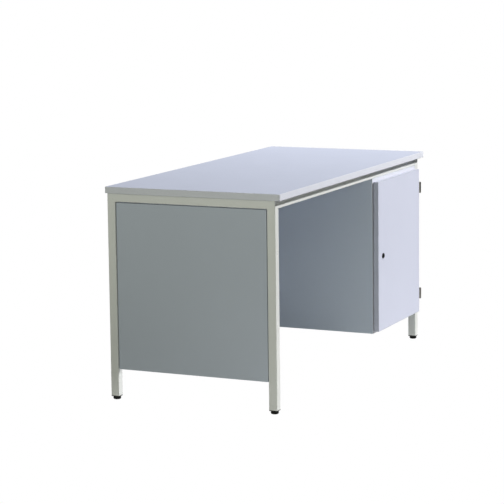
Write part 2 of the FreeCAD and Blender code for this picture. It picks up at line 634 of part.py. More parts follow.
def door(lock_hole, hinge_holes):
    """The door's board and edge band, bored for the lock, and the two buffers that it shuts on."""
    size = (f"({DOOR_RIGHT} - {DOOR_LEFT})", f"({DOOR_TOP} - {DOOR_BOTTOM})", "door_thickness")
    at = (DOOR_LEFT, DOOR_BACK, DOOR_BOTTOM)
    core, band = banded("door", size, at, TO_FRONT, "door_corner")
    part("door_board", cut("door_board", core, [lock_hole] + hinge_holes))
    part("door_edge_band", cut("door_edge_band", band, hinge_holes))
    buffers = []
    middle = f"({DOOR_LEFT} + {INNER_LEFT}) / 2"
    for i, z in enumerate((f"{DOOR_BOTTOM} + buffer_inset", f"{DOOR_TOP} - buffer_inset")):
        at = (middle, FRAME_FRONT, z)
        buffers.append(round_bar(f"buffer_{i}", "buffer_radius", "buffer_height", at, TO_FRONT))
    part("door_buffers", group("door_buffers", buffers))


def hinges():
    """Two butt hinges on the door's corner. Returns the screws' holes in the cupboard and in the door."""
    levels = (("upper", f"({DOOR_TOP} - hinge_inset)"), ("lower", f"({DOOR_BOTTOM} + hinge_inset)"))
    fixed_screws = []
    door_screws = []
    for name, z in levels:
        for side in ("-", "+"):
            height = f"{z} {side} hinge_screw_pitch / 2"
            fixed_at = (f"{CABINET_RIGHT} + leaf", f"{FRAME_FRONT} + fixed_screw_inset", height)
            door_at = (f"{DOOR_RIGHT} + leaf", f"{DOOR_BACK} - door_screw_inset", height)
            fixed_screws.append((fixed_at, ALONG_X))
            door_screws.append((door_at, ALONG_X))
    cabinet_holes = screws("hinge_cabinet_screws", "fixed_screw_length", fixed_screws)
    door_holes = screws("hinge_door_screws", "door_screw_length", door_screws)
    clear = f"({DOOR_FRONT} + knuckle_radius + leaf_clear)"
    for name, z in levels:
        bottom = f"({z} - hinge_height / 2)"
        top = f"({z} + hinge_height / 2)"
        end_length = "(hinge_height / 2 - knuckle_half - knuckle_gap)"
        axis = (HINGE_X, DOOR_FRONT)
        fixed_x = f"{HINGE_X} + knuckle_radius - leaf"
        moving_x = f"{HINGE_X} - knuckle_radius"
        plate_size = ("leaf", f"{DOOR_FRONT} + leaf_reach - {clear}", "hinge_height")
        fixed = [box(f"{name}_fixed_plate", plate_size, (fixed_x, clear, bottom))]
        root_size = ("leaf", f"{clear} - {DOOR_FRONT}", end_length)
        for end, start in (("low", bottom), ("high", f"{top} - {end_length}")):
            fixed.append(round_bar(f"{name}_fixed_{end}", "knuckle_radius", end_length, (*axis, start)))
            fixed.append(box(f"{name}_fixed_{end}_root", root_size, (fixed_x, DOOR_FRONT, start)))
        bore_at = (*axis, f"{bottom} - 1")
        bore = round_bar(f"{name}_fixed_bore", "pin_radius + pin_slack / 2", "hinge_height + 2", bore_at)
        solid = joined(f"{name}_fixed_solid", fixed)
        part(f"hinge_{name}_fixed_leaf", cut(f"hinge_{name}_fixed_leaf", solid, [bore] + cabinet_holes))
        knuckle_start = f"{z} - knuckle_half"
        plate_size = ("leaf", f"{DOOR_BACK} - {clear}", "hinge_height")
        root_size = ("leaf", f"{clear} - {DOOR_FRONT}", "2 * knuckle_half")
        moving = [
            box(f"{name}_door_plate", plate_size, (moving_x, clear, bottom)),
            box(f"{name}_door_root", root_size, (moving_x, DOOR_FRONT, knuckle_start)),
            round_bar(f"{name}_door_knuckle", "knuckle_radius", "2 * knuckle_half", (*axis, knuckle_start)),
        ]
        bore = round_bar(f"{name}_door_bore", "pin_radius + pin_slack", "hinge_height", (*axis, bottom))
        solid = joined(f"{name}_door_solid", moving)
        part(f"hinge_{name}_door_leaf", cut(f"hinge_{name}_door_leaf", solid, [bore] + door_holes))
        pin = [
            round_bar(f"{name}_pin_shaft", "pin_radius", "hinge_height", (*axis, bottom)),
            round_bar(f"{name}_pin_foot", "cap_radius", "cap_height", (*axis, f"{bottom} - cap_height")),
            round_bar(f"{name}_pin_head", "cap_radius", "cap_height", (*axis, top)),
        ]
        part(f"hinge_{name}_pin", joined(f"hinge_{name}_pin", pin))
    return cabinet_holes, door_holes


def lock():
    """The cylinder lock: housing, nut, turning plug, cam and its screw. Returns the hole in the door."""
    def along(depth):
        return (LOCK_X, f"{DOOR_FRONT} + {depth}", LOCK_Z)

    rim = round_bar("lock_rim", "lock_rim", "lock_proud", (LOCK_X, DOOR_FRONT, LOCK_Z), TO_FRONT)
    barrel = round_bar("lock_barrel", "lock_barrel", "lock_depth", along("lock_depth"), TO_FRONT)
    bore_length = "lock_depth + lock_proud + 2"
    bore = round_bar("lock_bore", "lock_plug + hole_slack", bore_length, along("lock_depth + 1"), TO_FRONT)
    part("lock_housing", cut("lock_housing", joined("lock_solid", [rim, barrel]), [bore]))
    nut_at = along("door_thickness + nut_height")
    nut = hexagon("lock_nut_blank", "nut_corner", "nut_height", nut_at, TO_FRONT)
    hole_at = along("lock_depth + 1")
    clearance = round_bar("lock_hole", "lock_barrel + hole_slack", "lock_depth + 2", hole_at, TO_FRONT)
    part("lock_nut", cut("lock_nut", nut, [clearance]))
    rear = "lock_depth + cam_gap"
    length = "lock_depth + cam_gap + lock_proud - plug_sink"
    cylinder = round_bar("lock_cylinder", "lock_plug", length, along(rear), TO_FRONT)
    slot_at = (f"{LOCK_X} - slot_width / 2", f"{DOOR_FRONT} - lock_proud - 1", f"{LOCK_Z} - slot_height / 2")
    slot = box("key_slot", ("slot_width", "slot_depth + 1", "slot_height"), slot_at)
    cam_rear = "lock_depth + cam_gap + cam_thickness"
    thread = round_bar("cam_thread", "screw_radius + hole_slack", "14", along(cam_rear), TO_FRONT)
    part("lock_plug", cut("lock_plug", cylinder, [slot, thread]))
    hub = round_bar("cam_hub", "cam_half", "cam_thickness", along(cam_rear), TO_FRONT)
    arm_size = ("2 * cam_half", "cam_thickness", "cam_reach")
    arm = box("cam_arm", arm_size, (f"{LOCK_X} - cam_half", CAM_FRONT, f"{LOCK_Z} - cam_reach"))
    part("lock_cam", cut("lock_cam", joined("cam_blank", [hub, arm]), [thread]))
    head = round_bar("cam_screw_head", "screw_head", "2", along(f"{cam_rear} + 2"), TO_FRONT)
    shank = round_bar("cam_screw_shank", "screw_radius", "13", along(cam_rear), TO_FRONT)
    part("lock_cam_screw", joined("lock_cam_screw", [head, shank]))
    return clearance


def strike():
    """The angle that the cam turns behind, screwed to the left side board. Returns its screws' holes."""
    rear = f"({CAM_FRONT} - strike_gap)"
    front = f"({rear} - sheet_metal)"
    low = f"{LOCK_Z} - strike_half"
    tall = "2 * strike_half"
    plate = box("strike_plate", ("sheet_metal", "strike_plate", tall), (INNER_LEFT, front, low))
    tongue = box("strike_tongue", ("strike_tongue", "sheet_metal", tall), (INNER_LEFT, front, low))
    screw_y = f"{front} + strike_plate - strike_screw_inset"
    places = [
        ((f"{INNER_LEFT} + sheet_metal", screw_y, f"{LOCK_Z} {side} hinge_screw_pitch / 2"), ALONG_X)
        for side in ("-", "+")
    ]
    holes = screws("strike_screws", "strike_screw_length", places)
    part("lock_strike", cut("lock_strike", joined("strike_blank", [plate, tongue]), holes))
    return holes


def check_and_export():
    """Stops on any failed object or sub-part, then writes each sub-part as its own file."""
    doc.recompute()
    failed = [thing.Name for thing in doc.Objects if {"Invalid", "Error"} & set(thing.State)]
    if failed:
        raise RuntimeError(f"these objects failed: {failed}")
    for node, thing in parts.items():
        shape = thing.Shape
        if shape.isNull() or not shape.isValid() or not shape.Solids:
            raise RuntimeError(f"{node} has no valid solid")
    os.makedirs("parts", exist_ok=True)
    for node, thing in parts.items():
        thing.Shape.exportStep(f"parts/{node}.step")
        print(f"{node}: {len(thing.Shape.Solids)} solids, {thing.Shape.Volume / 1000:.1f} cm3")


frame()
panels()
tabletop(top_fixings())
cabinet_hinge_holes, door_hinge_holes = hinges()
cabinet(hangers(), cabinet_hinge_holes, strike())
shelf()
door(lock(), door_hinge_holes)
check_and_export()
print(f"{len(parts)} sub-parts")
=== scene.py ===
"""Looks of a teacher's desk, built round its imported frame. Everything is in metres in the frame's own axes."""
import json
import math
from functools import partial

import bmesh
import bpy
from bpy.props import FloatProperty, FloatVectorProperty, IntProperty, PointerProperty
from mathutils import Matrix, Vector

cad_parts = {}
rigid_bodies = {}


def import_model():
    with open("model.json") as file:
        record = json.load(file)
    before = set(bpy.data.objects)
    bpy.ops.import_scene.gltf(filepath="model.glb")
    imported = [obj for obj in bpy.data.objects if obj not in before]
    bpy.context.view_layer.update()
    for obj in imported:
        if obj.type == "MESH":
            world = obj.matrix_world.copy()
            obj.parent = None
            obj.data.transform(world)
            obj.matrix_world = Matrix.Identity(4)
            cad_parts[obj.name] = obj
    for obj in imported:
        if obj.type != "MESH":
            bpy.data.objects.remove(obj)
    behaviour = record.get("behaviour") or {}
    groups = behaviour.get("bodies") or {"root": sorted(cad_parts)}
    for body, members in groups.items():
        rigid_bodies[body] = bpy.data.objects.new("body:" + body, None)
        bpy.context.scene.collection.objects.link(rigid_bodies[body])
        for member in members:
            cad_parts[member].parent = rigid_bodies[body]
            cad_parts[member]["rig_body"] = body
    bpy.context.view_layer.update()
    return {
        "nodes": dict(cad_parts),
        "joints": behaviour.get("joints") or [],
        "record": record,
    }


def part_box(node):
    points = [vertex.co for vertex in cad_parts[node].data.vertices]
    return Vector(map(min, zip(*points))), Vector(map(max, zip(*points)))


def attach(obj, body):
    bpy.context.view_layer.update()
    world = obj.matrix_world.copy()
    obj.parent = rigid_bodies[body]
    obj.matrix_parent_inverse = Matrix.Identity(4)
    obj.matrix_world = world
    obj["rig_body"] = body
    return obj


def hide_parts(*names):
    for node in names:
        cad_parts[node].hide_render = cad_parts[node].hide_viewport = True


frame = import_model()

bl_info = {
    "name": "Teacher desk",
    "version": (1, 0, 0),
    "blender": (4, 5, 0),
    "location": "View3D > Sidebar > Desk",
    "description": "Builds the finished pieces of a steel-framed teacher's desk round its frame",
    "category": "Add Mesh",
}

SLOTS = {part["node"]: part["material_slot"] for part in frame["record"]["subparts"]}
MM = 0.001
X = Vector((1, 0, 0))
Y = Vector((0, 1, 0))
Z = Vector((0, 0, 1))


# Settings


def length(name, default):
    """A length property, stored in metres and given here in millimetres."""
    return FloatProperty(name=name, default=default * MM, min=0, unit="LENGTH", precision=5)


def level(name, default):
    return FloatProperty(name=name, default=default, min=0)


def angle(name, degrees):
    return FloatProperty(name=name, default=math.radians(degrees), subtype="ANGLE")


def colour(name, default):
    return FloatVectorProperty(name=name, default=default, size=3, min=0, max=1, subtype="COLOR")


def place(name, default):
    return FloatVectorProperty(name=name, default=default, subtype="TRANSLATION", unit="LENGTH")


class DeskSizes(bpy.types.PropertyGroup):
    """Sizes of the details that the frame's nodes don't carry."""
    band: length("Thickness of the edge band round the top and the door", 2)
    band_ease: length("Rounding of the banded edges", 1)
    top_corner: length("Radius of the tabletop's corners in plan", 5)
    door_corner: length("Radius of the door's corners", 2.5)
    seam: length("Width of the line between a board and its band", 0.12)
    tube_corner: length("Outer corner radius of the square tube", 3)
    tube_wall: length("Wall of the square tube", 2)
    bead: length("Radius of a weld bead", 1.7)
    bead_pitch: length("Distance from one ripple of a weld bead to the next", 1.3)
    weld_sink: length("Depth of a ground weld under the tubes' faces", 0.06)
    foot_radius: length("Radius of a foot's glide", 13.5)
    foot_round: length("Rounding under a foot's glide", 4)
    flange: length("Thickness of a foot's flange", 3)
    recess: length("Depth of the cross recess in a screw head", 1.0)
    slot: length("Width of the lock's key slot", 2.4)
    slot_height: length("Height of the lock's key slot", 8)
    thread: length("Pitch of the thread on the lock's barrel", 1.0)
    ripple_seed: IntProperty(name="Seed of the weld beads' unevenness", default=7)


class DeskColours(bpy.types.PropertyGroup):
    """Colours of the desk's finishes, as linear values."""
    top: colour("Laminate of the tabletop", (0.575, 0.61, 0.74))
    # Partly the band's own colour and partly a painted sheen: paler than the band itself, standing in for the
    # sheen along its lit front edge.
    top_band_and_sheen: colour("Edge band of the tabletop", (0.74, 0.755, 0.83))
    panel: colour("Melamine of the end and modesty panels", (0.55, 0.60, 0.69))
    cabinet: colour("Melamine of the cupboard", (0.60, 0.665, 0.755))
    cabinet_band: colour("Edge bands of the cupboard's boards", (0.74, 0.75, 0.82))
    door: colour("Melamine of the door", (0.60, 0.62, 0.735))
    door_band: colour("Edge band of the door", (0.55, 0.57, 0.665))
    enamel: colour("Stoved enamel of the steel frame", (0.81, 0.82, 0.80))
    plastic: colour("Moulded plastic of the feet", (0.012, 0.012, 0.013))
    rubber: colour("Soft rubber of the door's buffers", (0.55, 0.55, 0.53))
    nickel: colour("Nickel plate of the hinges", (0.42, 0.40, 0.37))
    zinc: colour("Bright zinc plate of screws and fittings", (0.55, 0.57, 0.60))
    lock: colour("Dark plate of the lock", (0.055, 0.055, 0.055))
    beech: colour("Beech of the dowels", (0.45, 0.27, 0.13))


class StudioSettings(bpy.types.PropertyGroup):
    """The studio's light and camera. Powers are in watts."""
    key_at: place("Place of the key light", (4.1, -5.2, 5.45))
    key_size: length("Diameter of the key light", 400)
    key_power: level("Power of the key light", 895)
    rim_at: place("Place of the rim light", (2.1, 1.4, 2.0))
    rim_size: length("Diameter of the rim light", 700)
    rim_power: level("Power of the rim light", 18)
    back_at: place("Place of the back light", (1.5, 5.0, 2.2))
    back_size: length("Diameter of the back light", 1500)
    back_power: level("Power of the back light", 90)
    lamp_aim: place("Point that the three lamps face", (0, 0, 0.5))
    fill: level("Level of the light from all round", 0.05)
    fill_side: level("Extra light from the desk's left end", 1.32)
    fill_focus: level("Power that narrows the side fill", 4.0)
    fill_from: place("Direction that the side fill comes from", (-0.99, 0.1, 0.0))
    fill_colour: colour("Colour of the light from all round", (0.97, 1.0, 0.88))
    floor_radius: length("Radius of the studio's floor", 2500)
    # The floor's pale pool and the dark floor round it are painted light and painted shade. They set how much
    # light the floor throws back up at each side of the desk.
    painted_floor_shade: colour("Colour of the floor past the paper", (0.03, 0.03, 0.03))
    painted_pool: colour("Colour of the pale paper on the floor", (0.60, 0.60, 0.585))
    painted_pool_at: place("Middle of the pale paper", (-0.3, -0.5, 0))
    painted_pool_radius: length("Radius of the pale paper", 1150)
    painted_pool_fade: length("Half the width over which the paper fades into the floor", 300)
    camera_at: place("Place of the camera", (-6.5325, -2.894, 1.5563))
    heading: angle("Camera's turn from +Y towards +X", 65.423)
    dip: angle("Camera's tilt below the horizon", 7.213)
    roll: angle("Camera's turn about its own axis", -0.697)
    lens: level("Focal length on a 36 mm sensor", 140.6)
    shift: FloatVectorProperty(name="Shift of the picture by shares of its width", default=(0, -0.119), size=2)


# Meshes


def corners(points):
    """Lowest and highest corner of some points."""
    low = Vector([min(p[i] for p in points) for i in range(3)])
    high = Vector([max(p[i] for p in points) for i in range(3)])
    return low, high


def solids(node):
    """The vertices of each separate solid of a CAD node, in order along X, then Y, then Z."""
    bm = bmesh.new()
    bm.from_mesh(frame["nodes"][node].data)
    bmesh.ops.remove_doubles(bm, verts=bm.verts, dist=1e-6)
    waiting = set(bm.verts)
    found = []
    while waiting:
        queue = [waiting.pop()]
        solid = []
        while queue:
            vert = queue.pop()
            solid.append(vert.co.copy())
            for edge in vert.link_edges:
                other = edge.other_vert(vert)
                if other in waiting:
                    waiting.remove(other)
                    queue.append(other)
        found.append(solid)
    bm.free()
    return sorted(found, key=lambda points: [round(c, 4) for c in corners(points)[0]])


def boxes(node):
    """Lowest and highest corner of each separate solid of a CAD node."""
    return [corners(points) for points in solids(node)]


def longest(size):
    """Number of the axis along which a size is greatest."""
    return max(range(3), key=lambda i: size[i])


def towards(point, facing):
    """The matrix that puts a shape's own origin at the point and its own Z along facing."""
    return Matrix.Translation(point) @ Z.rotation_difference(facing).to_matrix().to_4x4()


def skin(bm, rings, ends="capped"):
    """Faces between neighbouring rings of points. The end rings are capped, joined together or left open."""
    loops = [[bm.verts.new(point) for point in ring] for ring in rings]
    if ends == "capped":
        bm.faces.new(loops[0][::-1])
        bm.faces.new(loops[-1])
    if ends == "joined":
        loops.append(loops[0])
    for one, other in zip(loops, loops[1:]):
        for i in range(max(len(one), len(other))):
            j = i + 1
            quad = [one[i % len(one)], one[j % len(one)], other[j % len(other)], other[i % len(other)]]
            face = list(dict.fromkeys(quad))
            if len(face) > 2:
                bm.faces.new(face)


def box(bm, low, high, ease=0.0, steps=3):
    """A box between two corners with its edges rounded."""
    low = Vector(low)
    high = Vector(high)
    matrix = Matrix.Translation((low + high) / 2) @ Matrix.Diagonal((high - low).to_4d())
    made = bmesh.ops.create_cube(bm, size=1, matrix=matrix)["verts"]
    if ease:
        edges = list({edge for vert in made for edge in vert.link_edges})
        bmesh.ops.bevel(bm, geom=edges, offset=ease, segments=steps, profile=0.5, affect="EDGES")


def soften(bm, axis, ease):
    """Rounds the edges that lie square to an axis."""
    rims = [e for e in bm.edges if abs(e.verts[0].co[axis] - e.verts[1].co[axis]) < 1e-7]
    bmesh.ops.bevel(bm, geom=rims, offset=ease, segments=2, profile=0.5, affect="EDGES")


def lathe(bm, profile, matrix=Matrix(), steps=24, ends="open"):
    """Turns (radius, height) points about Z. A point with no radius closes the shape on the axis."""
    rings = []
    for radius, height in profile:
        angles = [2 * math.pi * i / steps for i in range(steps if radius else 1)]
        rings.append([matrix @ Vector((radius * math.cos(a), radius * math.sin(a), height)) for a in angles])
    skin(bm, rings, ends)


def turned(name, profile, matrix=Matrix(), steps=24, ends="open"):
    """An object turned from one profile."""
    bm = bmesh.new()
    lathe(bm, profile, matrix, steps, ends)
    return shape(name, bm)


def arc(centre, radius, start, end, steps):
    """Points on an arc, with angles in degrees."""
    angles = [math.radians(start + (end - start) * i / steps) for i in range(steps + 1)]
    return [(centre[0] + radius * math.cos(a), centre[1] + radius * math.sin(a)) for a in angles]


def rounded_rectangle(low, high, radius, steps):
    """Points anticlockwise round a rectangle with round corners."""
    centres = [(high[0] - radius, high[1] - radius, 0), (low[0] + radius, high[1] - radius, 90),
               (low[0] + radius, low[1] + radius, 180), (high[0] - radius, low[1] + radius, 270)]
    points = []
    for x, y, start in centres:
        points += arc((x, y), radius, start, start + 90, steps)
    return points


def tube_outline(half, radius):
    """A square outline with round corners about the origin."""
    return rounded_rectangle((-half, -half), (half, half), radius, 5)


def stack(bm, levels, matrix, ends="capped"):
    """A solid through (outline, height) levels, or with its ends joined a pipe."""
    skin(bm, [[matrix @ Vector((x, y, height)) for x, y in outline] for outline, height in levels], ends)


def hem(bm, outline, section, matrix):
    """Carries a closed section of (outward, upward) points round a closed anticlockwise outline."""
    sharpest = 0.5
    rings = []
    for i in range(len(outline)):
        before = Vector(outline[i - 1])
        here = Vector(outline[i])
        after = Vector(outline[(i + 1) % len(outline)])
        leave = (after - here).normalized()
        along = ((here - before).normalized() + leave).normalized()
        outward = Vector((along.y, -along.x)) / max(along.dot(leave), sharpest)
        rings.append([matrix @ Vector((*(here + outward * u), v)) for u, v in section])
    skin(bm, rings, "joined")


def hexagon(bm, corner, tall, hole=0.0):
    """A hexagon with its corners turned off, as a bolt's head or a nut has."""
    steps = 48
    chamfer = 0.6 * MM
    sixth = math.pi / 3
    flat = corner * math.cos(sixth / 2)
    angles = [2 * math.pi * i / steps for i in range(steps)]
    sides = [flat / math.cos((a + sixth / 2) % sixth - sixth / 2) for a in angles]
    levels = [([min(side, limit) for side in sides], height) for height, limit in
              ((0, flat), (chamfer, corner), (tall - chamfer, corner), (tall, flat))]
    if hole:
        levels += [([hole] * steps, tall), ([hole] * steps, 0)]
    rings = [[(reach * math.cos(a), reach * math.sin(a), height) for reach, a in zip(reaches, angles)]
             for reaches, height in levels]
    skin(bm, rings, "joined" if hole else "capped")


def countersinks(node, face, bottom, top):
    """Countersunk holes in a face square to X, where a node's screws go in between two heights."""
    bore, rim, past = 2.1 * MM, 3.75 * MM, 0.5 * MM
    profile = [(0, past), (rim + 0.15 * MM, past), (rim, 0), (bore, bore - rim), (bore, -3 * MM), (0, -3 * MM)]
    bm = bmesh.new()
    for low, high in boxes(node):
        middle = (low + high) / 2
        if bottom < middle.z < top:
            lathe(bm, profile, towards(Vector((face, middle.y, middle.z)), X))
    return bm


# Objects


def joint_place(name):
    """The point that a joint turns about."""
    return Vector(next(joint["pos_m"] for joint in frame["joints"] if joint["name"] == name))


def apply_modifiers(obj):
    """Bakes an object's modifiers into its mesh."""
    bpy.context.view_layer.update()
    evaluated = obj.evaluated_get(bpy.context.evaluated_depsgraph_get())
    mesh = bpy.data.meshes.new_from_object(evaluated)
    obj.modifiers.clear()
    old = obj.data
    obj.data = mesh
    mesh.name = obj.name
    bpy.data.meshes.remove(old)


def finish_mesh(obj, sharp=40):
    """Smooth faces with sharp edges kept, and normals that leave the flat faces flat."""
    obj.data.shade_smooth()
    obj.data.set_sharp_from_angle(angle=math.radians(sharp))
    weighted = obj.modifiers.new("Weighted normals", "WEIGHTED_NORMAL")
    weighted.keep_sharp = True
    weighted.weight = 100
    apply_modifiers(obj)


def add_object(name, mesh):
    obj = bpy.data.objects.new(name, mesh)
    bpy.context.scene.collection.objects.link(obj)
    return obj


def shape(name, bm):
    """An object from a bmesh, with its normals outward."""
    bmesh.ops.recalc_face_normals(bm, faces=bm.faces)
    mesh = bpy.data.meshes.new(name)
    bm.to_mesh(mesh)
    bm.free()
    return add_object(name, mesh)


def discard(obj):
    mesh = obj.data
    bpy.data.objects.remove(obj)
    bpy.data.meshes.remove(mesh)


def carve(obj, bm):
    """Cuts a bmesh out of an object."""
    tool = shape(obj.name + "_tool", bm)
    cutter = obj.modifiers.new("Carve", "BOOLEAN")
    cutter.operation = "DIFFERENCE"
    cutter.solver = "EXACT"
    cutter.use_self = True
    cutter.object = tool
    apply_modifiers(obj)
    discard(tool)


def material(slot):
    return bpy.data.materials[f"desk_{slot}"]


def fit_to(obj, body, slot, nodes=(), sharp=40):
    """Finishes a piece, puts it on its body and hides the nodes that it stands for."""
    finish_mesh(obj, sharp)
    obj.data.materials.clear()
    obj.data.materials.append(material(slot))
    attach(obj, body)
    if nodes:
        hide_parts(*nodes)


def stand_in(obj, node, sharp=40):
    """Finishes a piece that takes a CAD node's place, on that node's body and with its finish."""
    fit_to(obj, frame["nodes"][node]["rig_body"], SLOTS[node], [node], sharp)


# Node trees


def add_node(tree, kind, inputs=(), **settings):
    """A node. An input is linked to a socket or to a node's first output, or else set to a value."""
    made = tree.nodes.new(kind)
    for label, value in settings.items():
        setattr(made, label, value)
    for label, value in dict(inputs).items():
        if isinstance(value, bpy.types.Node):
            value = value.outputs[0]
        if isinstance(value, bpy.types.NodeSocket):
            tree.links.new(value, made.inputs[label])
        else:
            made.inputs[label].default_value = value
    return made


def new_tree(name, **inputs):
    """A geometry tree with named inputs, and its group input's outputs."""
    tree = bpy.data.node_groups.new(name, "GeometryNodeTree")
    tree.is_modifier = True
    for label, kind in {"Geometry": "Geometry", **inputs}.items():
        tree.interface.new_socket(label, in_out="INPUT", socket_type="NodeSocket" + kind)
    tree.interface.new_socket("Geometry", in_out="OUTPUT", socket_type="NodeSocketGeometry")
    return tree, tree.nodes.new("NodeGroupInput").outputs


def end_tree(tree, copies, finish):
    """Ends a tree: real geometry, then its material."""
    real = add_node(tree, "GeometryNodeRealizeInstances", {"Geometry": copies})
    painted = add_node(tree, "GeometryNodeSetMaterial", {"Geometry": real, "Material": finish})
    add_node(tree, "NodeGroupOutput", {"Geometry": painted})
    return tree


def copies_tree():
    """Copies of one shape on points, each turned so that its own Z follows the point's facing attribute."""
    tree, given = new_tree("Copies on points", Shape="Object", Finish="Material")
    node = partial(add_node, tree)
    facing = node("GeometryNodeInputNamedAttribute", {"Name": "facing"}, data_type="FLOAT_VECTOR")
    spin = node("GeometryNodeInputNamedAttribute", {"Name": "spin"}, data_type="FLOAT")
    own_turn = node("FunctionNodeEulerToRotation", {"Euler": node("ShaderNodeCombineXYZ", {"Z": spin})})
    align = node("FunctionNodeAlignRotationToVector", {"Vector": facing}, axis="Z")
    turns = {"Rotation": align, "Rotate By": own_turn}
    turn = node("FunctionNodeRotateRotation", turns, rotation_space="LOCAL")
    source = node("GeometryNodeObjectInfo", {"Object": given["Shape"]}).outputs["Geometry"]
    copies = node("GeometryNodeInstanceOnPoints",
                  {"Points": given["Geometry"], "Instance": source, "Rotation": turn})
    return end_tree(tree, copies, given["Finish"])


def beads_tree():
    """A rippled weld bead along each edge: balls that overlap, a little uneven in size."""
    smallest, largest = (0.92, 0.92, 0.95), (1.08, 1.08, 1.05)
    tree, given = new_tree("Weld beads", Radius="Float", Pitch="Float", Seed="Int", Finish="Material")
    node = partial(add_node, tree)
    path = node("GeometryNodeMeshToCurve", {"Mesh": given["Geometry"]})
    points = node("GeometryNodeCurveToPoints", {"Curve": path, "Length": given["Pitch"]}, mode="LENGTH")
    ball = node("GeometryNodeMeshIcoSphere", {"Subdivisions": 2, "Radius": given["Radius"]})
    size = node("FunctionNodeRandomValue", {0: smallest, 1: largest, "Seed": given["Seed"]},
                data_type="FLOAT_VECTOR")
    copies = node("GeometryNodeInstanceOnPoints", {
        "Points": points, "Instance": ball, "Rotation": points.outputs["Rotation"], "Scale": size})
    return end_tree(tree, copies, given["Finish"])


def run_tree(obj, tree, **values):
    """Runs a tree on an object and keeps the result as a plain mesh."""
    modifier = obj.modifiers.new(tree.name, "NODES")
    modifier.node_group = tree
    for item in tree.interface.items_tree:
        if item.in_out == "INPUT" and item.name in values:
            modifier[item.identifier] = values[item.name]
    apply_modifiers(obj)


def copies(name, source, places, node):
    """One mesh of copies of the source at (point, facing, spin) places. The source isn't kept."""
    finish_mesh(source)
    points, facings, spins = zip(*places)
    mesh = bpy.data.meshes.new(name)
    mesh.from_pydata(points, [], [])
    facing = mesh.attributes.new("facing", "FLOAT_VECTOR", "POINT")
    facing.data.foreach_set("vector", [c for vector in facings for c in vector])
    spin = mesh.attributes.new("spin", "FLOAT", "POINT")
    spin.data.foreach_set("value", spins)
    obj = add_object(name, mesh)
    tree = bpy.data.node_groups.get("Copies on points") or copies_tree()
    run_tree(obj, tree, Shape=source, Finish=material(SLOTS[node]))
    discard(source)
    stand_in(obj, node)


# Materials


class Shader:
    """A short way to write a material's nodes, all on object coordinates."""

    def __init__(self, slot, roughness, metallic=0.0, specular=0.5, coat=0.0):
        self.material = bpy.data.materials.new(f"desk_{slot}")
        self.material.use_nodes = True
        self.tree = self.material.node_tree
        self.node = partial(add_node, self.tree)
        self.surface = self.tree.nodes["Principled BSDF"]
        self.place = self.node("ShaderNodeTexCoord").outputs["Object"]
        constants = {"Roughness": roughness, "Metallic": metallic, "Specular IOR Level": specular,
                     "Coat Weight": coat, "Coat Roughness": 0.2}
        for label, value in constants.items():
            self.surface.inputs[label].default_value = value

    def stretched(self, scale):
        """Object coordinates scaled by a different amount on each axis."""
        return self.node("ShaderNodeMapping", {"Vector": self.place, "Scale": scale})

    def noise(self, scale, detail, roughness, vector=None):
        inputs = {"Vector": vector or self.place, "Scale": scale, "Detail": detail, "Roughness": roughness}
        return self.node("ShaderNodeTexNoise", inputs)

    def spread(self, value, low=0.0, high=1.0, start=0.3, end=0.7):
        """Maps a texture's middle range to a new range."""
        inputs = {"Value": value, "From Min": start, "From Max": end, "To Min": low, "To Max": high}
        return self.node("ShaderNodeMapRange", inputs)

    def tints(self, texture, base, dark, pale, **middle):
        """Where the texture is low a darker tint of the base, where it is high a paler one."""
        one, other = ((*(min(1.0, c * share) for c in base), 1) for share in (dark, pale))
        return self.blend(self.spread(texture, **middle), one, other)

    def blend(self, factor, one, other):
        return self.node("ShaderNodeMix", {"Factor": factor, 6: one, 7: other}, data_type="RGBA").outputs[2]

    def bump(self, height, distance, under=None):
        inputs = {"Height": height, "Distance": distance, "Strength": 1.0}
        if under:
            inputs["Normal"] = under
        return self.node("ShaderNodeBump", inputs)

    def set(self, colour_output, normal, roughness=None):
        """Links the surface's colour, relief and, where it varies, its roughness."""
        self.tree.links.new(colour_output, self.surface.inputs["Base Color"])
        self.tree.links.new(normal.outputs[0], self.surface.inputs["Normal"])
        if roughness:
            self.tree.links.new(roughness.outputs[0], self.surface.inputs["Roughness"])


def laminate(slot, base):
    """Matt decor paper under resin: a very fine pearl structure, faint clouds and a trace of handling."""
    paint = Shader(slot, roughness=0.6, specular=0.25)
    speck = paint.noise(1500, 3, 0.6)
    cloudy = paint.tints(paint.noise(3.2, 4, 0.55), base, 0.985, 1.015)
    fine = paint.tints(speck, base, 0.95, 1.04, start=0.35, end=0.65)
    pearl = paint.bump(paint.noise(900, 3, 0.55), 0.00006)
    paint.set(paint.blend(0.4, cloudy, fine), paint.bump(speck, 0.00003, under=pearl),
              paint.spread(paint.noise(14, 5, 0.6), 0.55, 0.68))


def edge_band(slot, base):
    """Extruded plastic band: smooth and a little glossier than the boards, with faint clouds."""
    paint = Shader(slot, roughness=0.36, specular=0.45)
    clouds = paint.tints(paint.noise(160, 3, 0.5), base, 0.985, 1.015)
    paint.set(clouds, paint.bump(paint.noise(700, 2, 0.5), 0.00003),
              paint.spread(paint.noise(40, 4, 0.6), 0.32, 0.42))


def enamel(slot, base):
    """Stoved enamel on steel: orange peel, an even sheen and faint handling marks."""
    paint = Shader(slot, roughness=0.3, coat=0.25)
    clouds = paint.tints(paint.noise(5, 4, 0.6), base, 0.98, 1.015)
    paint.set(clouds, paint.bump(paint.noise(420, 2, 0.45), 0.00008),
              paint.spread(paint.noise(22, 5, 0.65), 0.26, 0.38))


def plated(slot, base, roughness):
    """Plated metal: fine rolling lines, small dull clouds."""
    paint = Shader(slot, metallic=1.0, roughness=roughness)
    cloud = paint.noise(120, 4, 0.6)
    lines = paint.noise(60, 3, 0.6, paint.stretched((40, 40, 2)))
    paint.set(paint.tints(cloud, base, 0.86, 1.08), paint.bump(lines, 0.00002),
              paint.spread(cloud, roughness * 0.8, roughness * 1.3))


